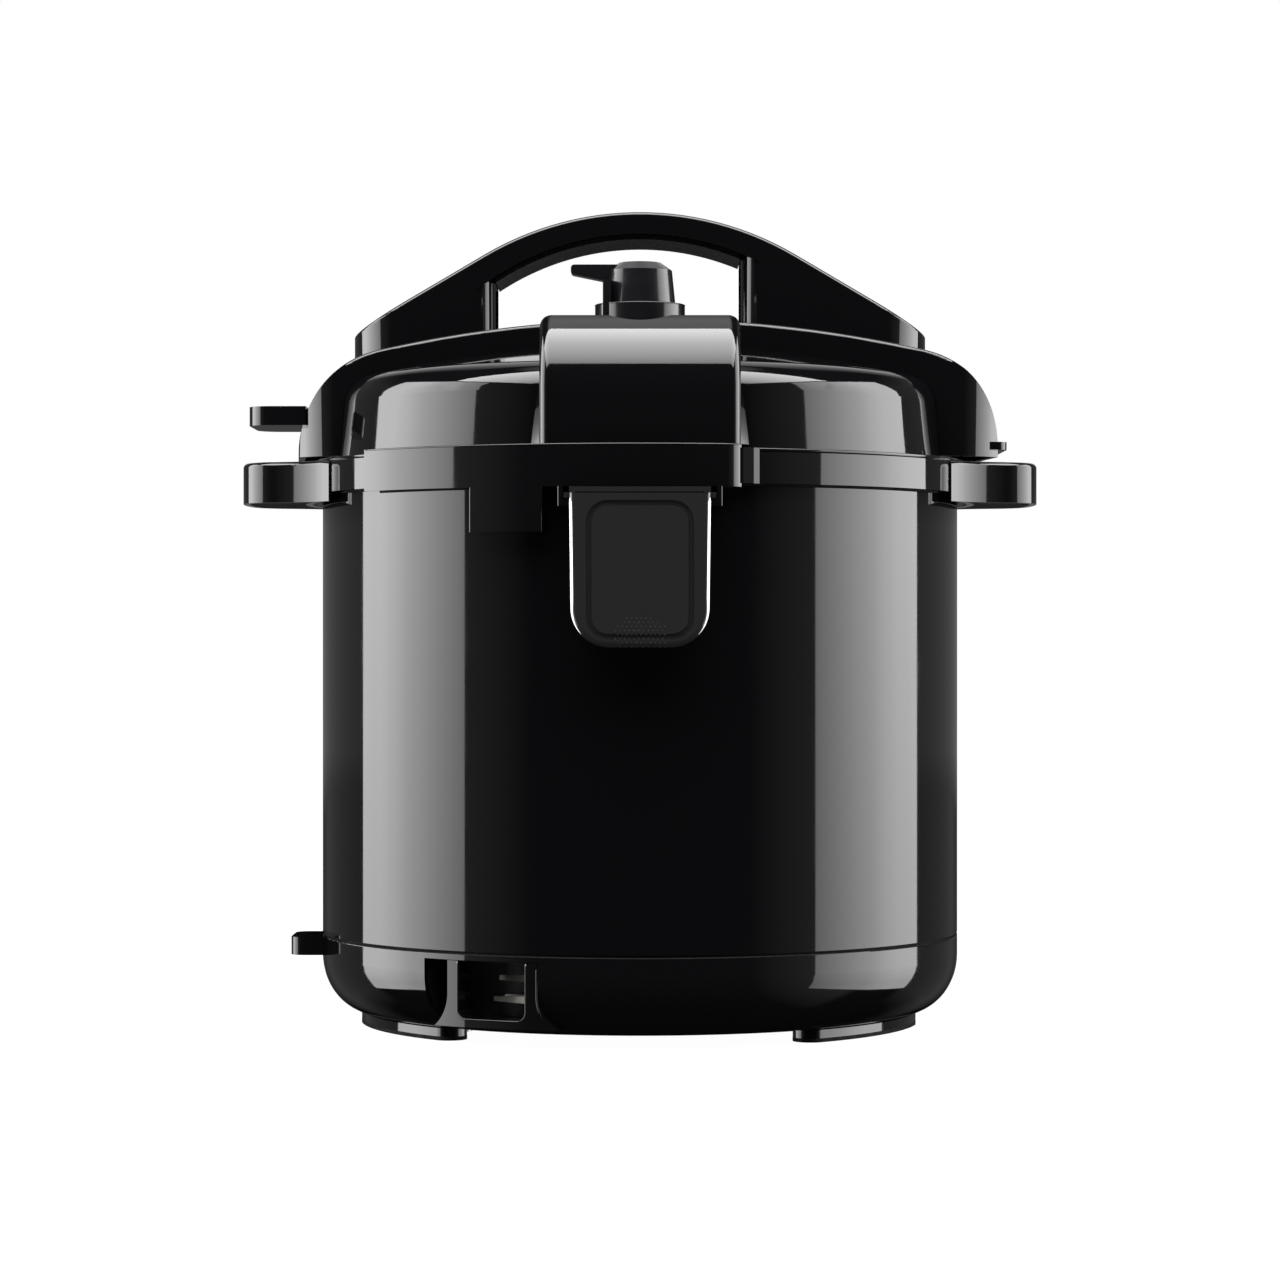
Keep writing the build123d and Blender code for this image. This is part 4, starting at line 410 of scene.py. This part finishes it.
# Every second row of dots is shifted by half a pitch. The rows are counted from below, and past the
# full rows the field narrows with the square of the count.
grip_rows, grip_columns = 7, 12
grip_pitch, grip_step, grip_lift, grip_half = 1.82 * mm, 1.58 * mm, 1.8 * mm, 10.4 * mm
grip_shift, last_full_row, grip_taper = 0.25, 3, 0.5 * mm
dot_radius, dot_height = 0.22 * mm, 0.14 * mm
row, column = np.meshgrid(np.arange(grip_rows), np.arange(grip_columns), indexing="ij")
dot_x = (column - (grip_columns - 1) / 2 + np.where(row % 2, grip_shift, -grip_shift)) * grip_pitch
dot_lift = grip_lift + row * grip_step
dot_y = cup_front + cup_edge - np.sqrt(cup_edge**2 - np.maximum(cup_edge - dot_lift, 0) ** 2)
kept = np.abs(dot_x) < grip_half - np.maximum(row - last_full_row, 0) ** 2 * grip_taper
dots = np.stack([dot_x, dot_y, cup_low[2] + dot_lift], axis=-1)[kept]
facing, sideways = np.array([0.0, -1.0, 0.0]), np.array([1.0, 0.0, 0.0])

# Frosted polycarbonate: the dots are etched in the mould, with specks a third of a millimetre across.
frost, tree, shader, place = finish("frosted smoke polycarbonate", "#242423", 0.6, IOR=1.58,
                                    Transmission_Weight=0.2, Specular_IOR_Level=0.1)
speck = add(tree, "ShaderNodeTexNoise", Vector=place, Scale=1 / (0.3 * mm), Detail=2.0)
emboss(tree, shader, speck.outputs["Fac"], 0.2, 0.05 * mm)
verts, faces = bumps(dots, dot_radius, dot_height, facing, sideways, sides=8, rings=4)
piece("cup_grip_dots", verts, faces, frost, "condensation_cup")

# Last row of grips: larger dots of the same frosted polycarbonate, moulded low down on the round
# where the face turns under.
lean = np.radians(65)
low_dots, low_pitch, low_radius = 10, 2.2 * mm, 0.45 * mm
row_x = (np.arange(low_dots) - (low_dots - 1) / 2) * low_pitch
row_y = np.full(low_dots, cup_front + cup_edge * (1 - np.cos(lean)))
row_z = np.full(low_dots, cup_low[2] + cup_edge * (1 - np.sin(lean)))
under = np.array([0.0, -np.cos(lean), -np.sin(lean)])
low_row = np.stack([row_x, row_y, row_z], axis=1)
verts, faces = bumps(low_row, low_radius, dot_height, under, sideways, sides=10, rings=4)
piece("cup_grip_row", verts, faces, frost, "condensation_cup")


def closed_bar(loop, ends, shrink):
    """Solid bar with one section along X: each place along it has the section scaled about its middle.

    The scale falls to nothing at both ends, which closes them.
    """
    middle = loop.mean(axis=0)
    section = middle + shrink[:, None, None] * (loop - middle)
    along = np.broadcast_to(ends[:, None, None], (len(ends), len(loop), 1))
    return np.concatenate([along, section], axis=2), grid_faces(len(ends), len(loop))[:, ::-1]


# Brim of the cup: its front wall stands up past the rails, thin and square.
# It is moulded in one with the cup.
brim_rise, brim_wall, brim_lap = 2.0 * mm, 1.8 * mm, 0.4 * mm
brim_y = cup_front + brim_wall * np.array([0, 0, 1, 1, 0])
brim_z = cup_high[2] + np.array([-brim_lap, brim_rise, brim_rise, -brim_lap, -brim_lap])
brim_x = np.array([-1.0, -1.0, 1.0, 1.0]) * cup_half
verts, faces = closed_bar(np.stack([brim_y, brim_z], axis=1), brim_x, np.array([0.0, 1.0, 1.0, 0.0]))
piece("cup_brim", verts, faces, smoke, "condensation_cup", smooth=False)


# Side edges of the cup's face: a painted highlight along each, a thin near-white skin on the moulded round,
# which stands in for the bright line that the clear wall mirrors there.
def cup_side(share):
    """Right edge of the cup's face from the top down: x, z and the outward way for shares of its length.

    The upper part is the drafted straight side, and the rest is the round lower corner.
    """
    foot = cup_low[2] + cup_corner
    straight = cup_high[2] - foot
    arc = cup_corner * np.pi / 2
    run = share * (straight + arc)
    down = np.minimum(run, straight) / straight
    turn = np.maximum(run - straight, 0) / cup_corner
    lost = cup_draft * straight / (cup_high[2] - cup_low[2])
    x = np.where(turn > 0, cup_half - lost - cup_corner + cup_corner * np.cos(turn), cup_half - lost * down)
    z = np.where(turn > 0, foot - cup_corner * np.sin(turn), cup_high[2] - straight * down)
    return x, z, np.stack([np.cos(turn), -np.sin(turn)], axis=1)


strip_start, strip_stop, strip_rise, strip_fade, strip_ease = 0.03, 0.82, 0.03, 0.22, 0.7
strip_middle, strip_half = np.radians([62, 26])
strip_clear = 0.03 * mm


def highlight_strip(side):
    """Painted highlight skin on the cup's rounded edge: it follows the edge down and covers the round from
    face to side.

    The covered part of the round narrows to nothing towards both ends.
    """
    rows, columns = 80, 9
    share = np.linspace(strip_start, strip_stop, rows)
    x, z, away = cup_side(share)
    ends = np.clip((share - strip_start) / strip_rise, 0, 1)
    ends = ends * np.clip((strip_stop - share) / strip_fade, 0, 1) ** strip_ease
    angle = strip_middle + strip_half * ends[:, None] * np.linspace(-1, 1, columns)
    radius = cup_edge + strip_clear
    flat = radius * np.sin(angle) - cup_edge
    across = side * (x[:, None] + flat * away[:, :1])
    along = z[:, None] + flat * away[:, 1:]
    deep = cup_front + cup_edge - radius * np.cos(angle)
    return np.stack([across, deep, along], axis=-1), grid_faces(rows, columns)[:, ::-side]


# Painted highlight on the edge of the polycarbonate: nearly white, with ripples of the mould about 5 mm long.
painted_edge_highlight, tree, shader, place = finish("painted highlight on the cup's edges", "#fbfbfb", 0.45, IOR=1.58)
ripple = add(tree, "ShaderNodeTexNoise", Vector=place, Scale=1 / (5 * mm), Detail=2.0)
vary(tree, shader, "Roughness", ripple.outputs["Fac"], 0.28, 0.42)
for side, name in ((-1, "cup_left_painted_highlight"), (1, "cup_right_painted_highlight")):
    verts, faces = highlight_strip(side)
    piece(name, verts, faces, painted_edge_highlight, "condensation_cup")

# Pots, inner lid and shield: deep-drawn stainless steel, spun and brushed round the axis, so the
# lines are rings about a third of a millimetre apart.
stainless, tree, shader, place = finish("spun stainless steel", "#c6c6c3", 0.25, Metallic=1.0)
apart = add(tree, "ShaderNodeSeparateXYZ", Vector=place)
plan = add(tree, "ShaderNodeCombineXYZ", X=apart.outputs["X"], Y=apart.outputs["Y"])
reach = add(tree, "ShaderNodeVectorMath", {"operation": "LENGTH"}, Vector=plan.outputs["Vector"])
rings = add(tree, "ShaderNodeCombineXYZ", X=reach.outputs["Value"], Y=apart.outputs["Z"])
brush = add(tree, "ShaderNodeTexNoise", Vector=rings.outputs["Vector"], Scale=1 / (0.35 * mm), Detail=2.0)
vary(tree, shader, "Roughness", brush.outputs["Fac"], 0.18, 0.38)
emboss(tree, shader, brush.outputs["Fac"], 0.12, 0.02 * mm)
dress(stainless, "inner_pot", "outer_pot", "inner_lid", "anti_block_shield")

# Heater and sensor cap: cast aluminium, dull with the grain of the mould, which is under a millimetre.
# The heater stands on posts under the pot, and the sensor's cap is sprung through its middle.
aluminium, tree, shader, place = finish("cast aluminium", "#b5b6b8", 0.42, Metallic=1.0)
cast = add(tree, "ShaderNodeTexNoise", Vector=place, Scale=1 / (0.8 * mm), Detail=3.0)
vary(tree, shader, "Roughness", cast.outputs["Fac"], 0.35, 0.55)
emboss(tree, shader, cast.outputs["Fac"], 0.2, 0.1 * mm)
dress(aluminium, "heating_plate", "temperature_sensor")

# Control panel on the front: a gloss fascia, a dark display pane and six satin keys on switches.
# The pane shows unlit digits, and two of the keys carry a plain minus and plus.
dress(gloss_abs, "control_panel")

# Smoked glass: nearly black and mirror-like, with a thin coat that varies over 20 mm.
pane, tree, shader, place = finish("smoked display glass", "#040506", 0.04, IOR=1.5)
coat = add(tree, "ShaderNodeTexNoise", Vector=place, Scale=1 / (20 * mm), Detail=3.0)
vary(tree, shader, "Roughness", coat.outputs["Fac"], 0.02, 0.06)
dress(pane, "display_window")

# Satin ABS: dark grey, with a grain of 0.4 mm that blurs what it mirrors.
key_plastic, tree, shader, place = finish("satin dark grey ABS", "#3a3b3d", 0.4, IOR=1.53)
satin = add(tree, "ShaderNodeTexNoise", Vector=place, Scale=1 / (0.4 * mm), Detail=2.0)
emboss(tree, shader, satin.outputs["Fac"], 0.15, 0.05 * mm)
dress(key_plastic, "menu_key", "pressure_key", "timer_key", "cancel_key", "less_key", "more_key")


def bars(name, centre, sizes, radius, material, body):
    """Thin printed bars on an upright cylinder about the body's axis, given as x, z, width and height.

    Each bar is a grid bent to the cylinder, so it lies flat on the face that it is printed on.
    """
    steps = np.linspace(-0.5, 0.5, 7)
    across, up = np.meshgrid(steps, steps, indexing="ij")
    middle_x, middle_z, width, height = (np.array(value)[:, None, None] for value in zip(*sizes))
    x = centre[0] + middle_x + width * across
    z = centre[1] + middle_z + height * up
    verts = np.stack([x, np.sqrt(radius**2 - x**2), z], axis=-1)
    piece(name, verts, grid_faces(len(steps), len(steps), len(sizes)), material, body)


# Digits: four of seven segments each and a colon, given as places and lengths in shares of a digit.
pane_low, pane_high = (np.array(corner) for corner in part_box("display_window"))
pane_middle = ((pane_low[0] + pane_high[0]) / 2, (pane_low[2] + pane_high[2]) / 2)
print_clear = 0.03 * mm
digit_count, digit_pitch, digit_width, digit_height, segment = 4, 15 * mm, 9 * mm, 17 * mm, 1.4 * mm
digit = [(0, 0.5, 1, 0), (0, 0, 1, 0), (0, -0.5, 1, 0), (-0.5, 0.25, 0, 1), (0.5, 0.25, 0, 1),
         (-0.5, -0.25, 0, 1), (0.5, -0.25, 0, 1)]
segments = [((number - (digit_count - 1) / 2) * digit_pitch + x * digit_width, z * digit_height,
             flat * (digit_width - segment) + (1 - flat) * segment,
             upright * (digit_height / 2 - segment) + (1 - upright) * segment)
            for number in range(digit_count) for x, z, flat, upright in digit]
colon = [(0, lift * digit_height / 4, segment, segment) for lift in (-1, 1)]
unlit, tree, shader, place = finish("unlit display segments", "#1f2422", 0.3)
lattice = add(tree, "ShaderNodeTexNoise", Vector=place, Scale=1 / (0.3 * mm), Detail=1.0)
vary(tree, shader, "Roughness", lattice.outputs["Fac"], 0.25, 0.4)
pane_radius = pane_high[1] + print_clear
bars("display_digits", pane_middle, segments + colon, pane_radius, unlit, "base")

# Marks on the keys: white ink, printed with a soft pad, so that its edge and its film are even.
# A key beside the middle reaches furthest forward at its inner end, which gives its face's radius.
ink, tree, shader, place = finish("white pad-print ink", "#d9d9d6", 0.55)
screen = add(tree, "ShaderNodeTexNoise", Vector=place, Scale=1 / (0.2 * mm), Detail=1.0)
emboss(tree, shader, screen.outputs["Fac"], 0.1, 0.02 * mm)
stroke, mark = 1.2 * mm, 6 * mm
marks = {"less_key": [(0, 0, mark, stroke)], "more_key": [(0, 0, mark, stroke), (0, 0, stroke, mark)]}
for name, sizes in marks.items():
    low, high = (np.array(corner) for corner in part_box(name))
    middle = ((low[0] + high[0]) / 2, (low[2] + high[2]) / 2)
    inner_end = min(abs(low[0]), abs(high[0])) if low[0] * high[0] > 0 else 0.0
    key_radius = np.hypot(inner_end, high[1])
    bars(f"{name}_mark", middle, sizes, key_radius + print_clear, ink, name)

# Sealing ring and float seal: moulded silicone, a little cloudy, with light scattered inside it.
# The ring sits loose on its rack in the lid, and the seal lies on the head of the float.
silicone, tree, shader, place = finish("translucent silicone", "#dcdad4", 0.5, IOR=1.41,
                                       Subsurface_Weight=0.3, Subsurface_Scale=2 * mm)
cloud = add(tree, "ShaderNodeTexNoise", Vector=place, Scale=1 / (6 * mm), Detail=2.0)
vary(tree, shader, "Roughness", cloud.outputs["Fac"], 0.42, 0.6)
dress(silicone, "sealing_ring", "float_seal")

# Crown, tongue and handle on the lid: polished black ABS mouldings.
# The crown is screwed on from below, through the dome.
dress(gloss_abs, "lid_crown", "rear_tongue", "lid_handle")

# Pad under the grip: an elastomer moulding, fixed to the underside of the handle's arch.
# Soft-touch elastomer: a satin skin that only shines when it is seen along its face.
soft_touch, tree, shader, place = finish("soft-touch black elastomer", "#0a0a0b", 0.3, IOR=1.5)
skin = add(tree, "ShaderNodeTexNoise", Vector=place, Scale=1 / (1.5 * mm), Detail=3.0)
vary(tree, shader, "Roughness", skin.outputs["Fac"], 0.25, 0.38)
dress(soft_touch, "handle_pad")

# Steam release: a knob of ABS, loose on a pipe, so that pressure can lift it.
# Satin ABS: a shade lighter than the polished mouldings, with a skin that spreads the light a little.
satin_abs, tree, shader, place = finish("satin black ABS", "#0e0e10", 0.18, IOR=1.53)
touch = add(tree, "ShaderNodeTexNoise", Vector=place, Scale=1 / (10 * mm), Detail=4.0)
vary(tree, shader, "Roughness", touch.outputs["Fac"], 0.12, 0.22)
dress(satin_abs, "steam_valve")

# Top edge of the knob's collar: a fine polished round, moulded on it.
# The knob turns on the pipe, so the pipe's middle is the collar's.
valve_low = np.array(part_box("steam_valve")[0])
pipe_middle = np.mean(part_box("steam_pipe"), axis=0)
collar_radius, collar_height = 18.1 * mm, 10 * mm
collar_round, collar_set = 0.35 * mm, 0.24 * mm
collar_steps, collar_sides = 121, 17
collar_middle = np.array([*pipe_middle[:2], valve_low[2] + collar_height - collar_set])
turn = np.linspace(0, 2 * np.pi, collar_steps)
outward = np.stack([np.cos(turn), np.sin(turn), np.zeros_like(turn)], axis=1)
path = collar_middle + (collar_radius - collar_set) * outward
ring = rod(path, outward, upward, np.full(collar_steps, collar_round), collar_sides)
faces = grid_faces(collar_steps, collar_sides)[:, ::-1]
piece("collar_edge", ring, faces, gloss_abs, "steam_valve")

# Pipe under the knob and bush that guides the float: turned from brass and fixed in the lid.
# The lathe leaves fine grooves, drawn 1.2 mm apart so that they show.
brass, tree, shader, place = finish("turned brass", "#c9a55c", 0.25, Metallic=1.0)
lathe = add(tree, "ShaderNodeTexWave", {"bands_direction": "Z"}, Vector=place, Scale=1 / (1.2 * mm),
            Distortion=1.0)
vary(tree, shader, "Roughness", lathe.outputs["Fac"], 0.2, 0.34, start=0.0, stop=1.0)
dress(brass, "steam_pipe", "float_guide")

# Studio: a lit white table, which the gloss of the cooker doesn't mirror.
# Two tall side panels and one overhead panel are the lights.
floor_half = 6.0
corners = [(-floor_half, -floor_half, 0), (floor_half, -floor_half, 0),
           (floor_half, floor_half, 0), (-floor_half, floor_half, 0)]
floor_mesh = bpy.data.meshes.new("floor")
floor_mesh.from_pydata(corners, [], [(0, 1, 2, 3)])
floor = bpy.data.objects.new("floor", floor_mesh)
bpy.context.scene.collection.objects.link(floor)
white = (1, 1, 1, 1)
paper, tree, shader, place = finish("lit white table", "#202020", 0.9, Emission_Color=white,
                                    Emission_Strength=0.98)
floor_mesh.materials.append(paper)
floor.visible_glossy = False


def glow(tree, *ramps):
    """Brightness as a product of ramps: each is a value, its start and end, and the brightness at both."""
    total = None
    for value, first, last, at_first, at_last in ramps:
        ramp = add(tree, "ShaderNodeMapRange", Value=value, From_Min=first, From_Max=last, To_Min=at_first,
                   To_Max=at_last).outputs["Result"]
        if total is not None:
            ramp = add(tree, "ShaderNodeMath", {"operation": "MULTIPLY"}, total, ramp).outputs["Value"]
        total = ramp
    return total


def panel(name, at, towards, width, height, watts, across, rim, up):
    """A rectangular soft light at a place, turned to face another place.

    Its brightness is the product of three ramps, two across it and one up it. Each is a start and an end on
    the panel, as shares of its size, and the brightness at both.
    """
    light = bpy.data.lights.new(name, "AREA")
    light.shape = "RECTANGLE"
    light.size = width
    light.size_y = height
    light.energy = watts
    light.use_nodes = True
    tree = light.node_tree
    spot = add(tree, "ShaderNodeNewGeometry").outputs["Parametric"]
    split = add(tree, "ShaderNodeSeparateXYZ", Vector=spot)
    sideways, upright = split.outputs["X"], split.outputs["Y"]
    total = glow(tree, (sideways, *across), (sideways, *rim), (upright, *up))
    tree.links.new(total, tree.nodes["Emission"].inputs["Strength"])
    lamp = bpy.data.objects.new(name, light)
    lamp.location = at
    lamp.rotation_euler = (Vector(towards) - Vector(at)).to_track_quat("-Z", "Y").to_euler()
    bpy.context.scene.collection.objects.link(lamp)


panel_out, panel_back, panel_middle = 2.0, -0.06, 0.40
side_shape = {"towards": (0, panel_back, panel_middle), "width": 1.94, "height": 2.5,
              "up": (0.1, 0.45, 0.6, 1.0)}
panel("left_panel", at=(-panel_out, panel_back, panel_middle), watts=84, across=(0.4, 1.0, 1.28, 0.55),
      rim=(0.0, 0.25, 0.74, 1.0), **side_shape)
panel("right_panel", at=(panel_out, panel_back, panel_middle), watts=76, across=(0.0, 0.6, 0.55, 1.28),
      rim=(0.75, 1.0, 1.0, 0.78), **side_shape)
even = (0.0, 1.0, 1.0, 1.0)
panel("overhead_panel", at=(0, -1.5, 2.2), towards=(0, -1.5, 0), width=5.2, height=2.5, watts=340,
      across=even, rim=even, up=(0.0, 1.0, 0.5, 1.5))

# Room: what the gloss mirrors where no panel is. The way that is looked gives its brightness, and the
# brightest of its parts counts. The camera itself sees plain white.
world = bpy.data.worlds.new("studio")
world.use_nodes = True
tree = world.node_tree
tree.nodes.clear()
way = add(tree, "ShaderNodeTexCoord").outputs["Generated"]
split = add(tree, "ShaderNodeSeparateXYZ", Vector=way)
y_way, z_way = split.outputs["Y"], split.outputs["Z"]
x_side, z_side = (add(tree, "ShaderNodeMath", {"operation": "ABSOLUTE"}, split.outputs[axis]).outputs["Value"]
                  for axis in "XZ")
far = (y_way, 0.36, 0.44, 0.0, 1.0)
far_middle = (x_side, 0.2, 0.45, 1.0, 0.0)
far_sides = (x_side, 0.2, 0.45, 0.0, 1.0)
horizon = glow(tree, far, (z_side, 0.03, 0.055, 0.18, 0.0))
far_walls = glow(tree, far, far_sides, (z_way, -0.6, -0.4, 0.0, 1.0), (z_way, 0.4, 0.6, 0.11, 0.0))
far_floor = glow(tree, far, far_middle, (z_way, -0.24, -0.12, 0.0, 1.0), (z_way, -0.05, -0.02, 0.07, 0.0))
far_light = glow(tree, far, (z_way, 0.11, 0.17, 0.0, 1.0), far_middle)
near_walls = glow(tree, (y_way, -0.1, 0.0, 1.0, 0.0), (x_side, 0.63, 0.92, 0.0, 0.22))
ceiling = glow(tree, (z_way, 0.90, 0.985, 0.0, 1.5))
room = horizon
for part in (far_walls, far_floor, far_light, near_walls, ceiling):
    room = add(tree, "ShaderNodeMath", {"operation": "MAXIMUM"}, room, part).outputs["Value"]
around = add(tree, "ShaderNodeBackground", Color=white, Strength=room)
backdrop = add(tree, "ShaderNodeBackground", Color=white, Strength=1.0)
seen = add(tree, "ShaderNodeLightPath").outputs["Is Camera Ray"]
mix = add(tree, "ShaderNodeMixShader", None, seen, around.outputs["Background"],
          backdrop.outputs["Background"])
add(tree, "ShaderNodeOutputWorld", Surface=mix.outputs["Shader"])
bpy.context.scene.world = world
bpy.context.scene.view_settings.view_transform = "Standard"

# Camera: level, behind the cooker and at about half its height, with a long lens.
camera_back, camera_height = 1.580, 0.1617
view = bpy.data.cameras.new("camera")
view.sensor_width = 36.0
view.lens = 104.03
camera = bpy.data.objects.new("camera", view)
camera.location = (0.0, -camera_back, camera_height)
camera.rotation_euler = (np.pi / 2, 0, 0)
bpy.context.scene.collection.objects.link(camera)
bpy.context.scene.camera = camera
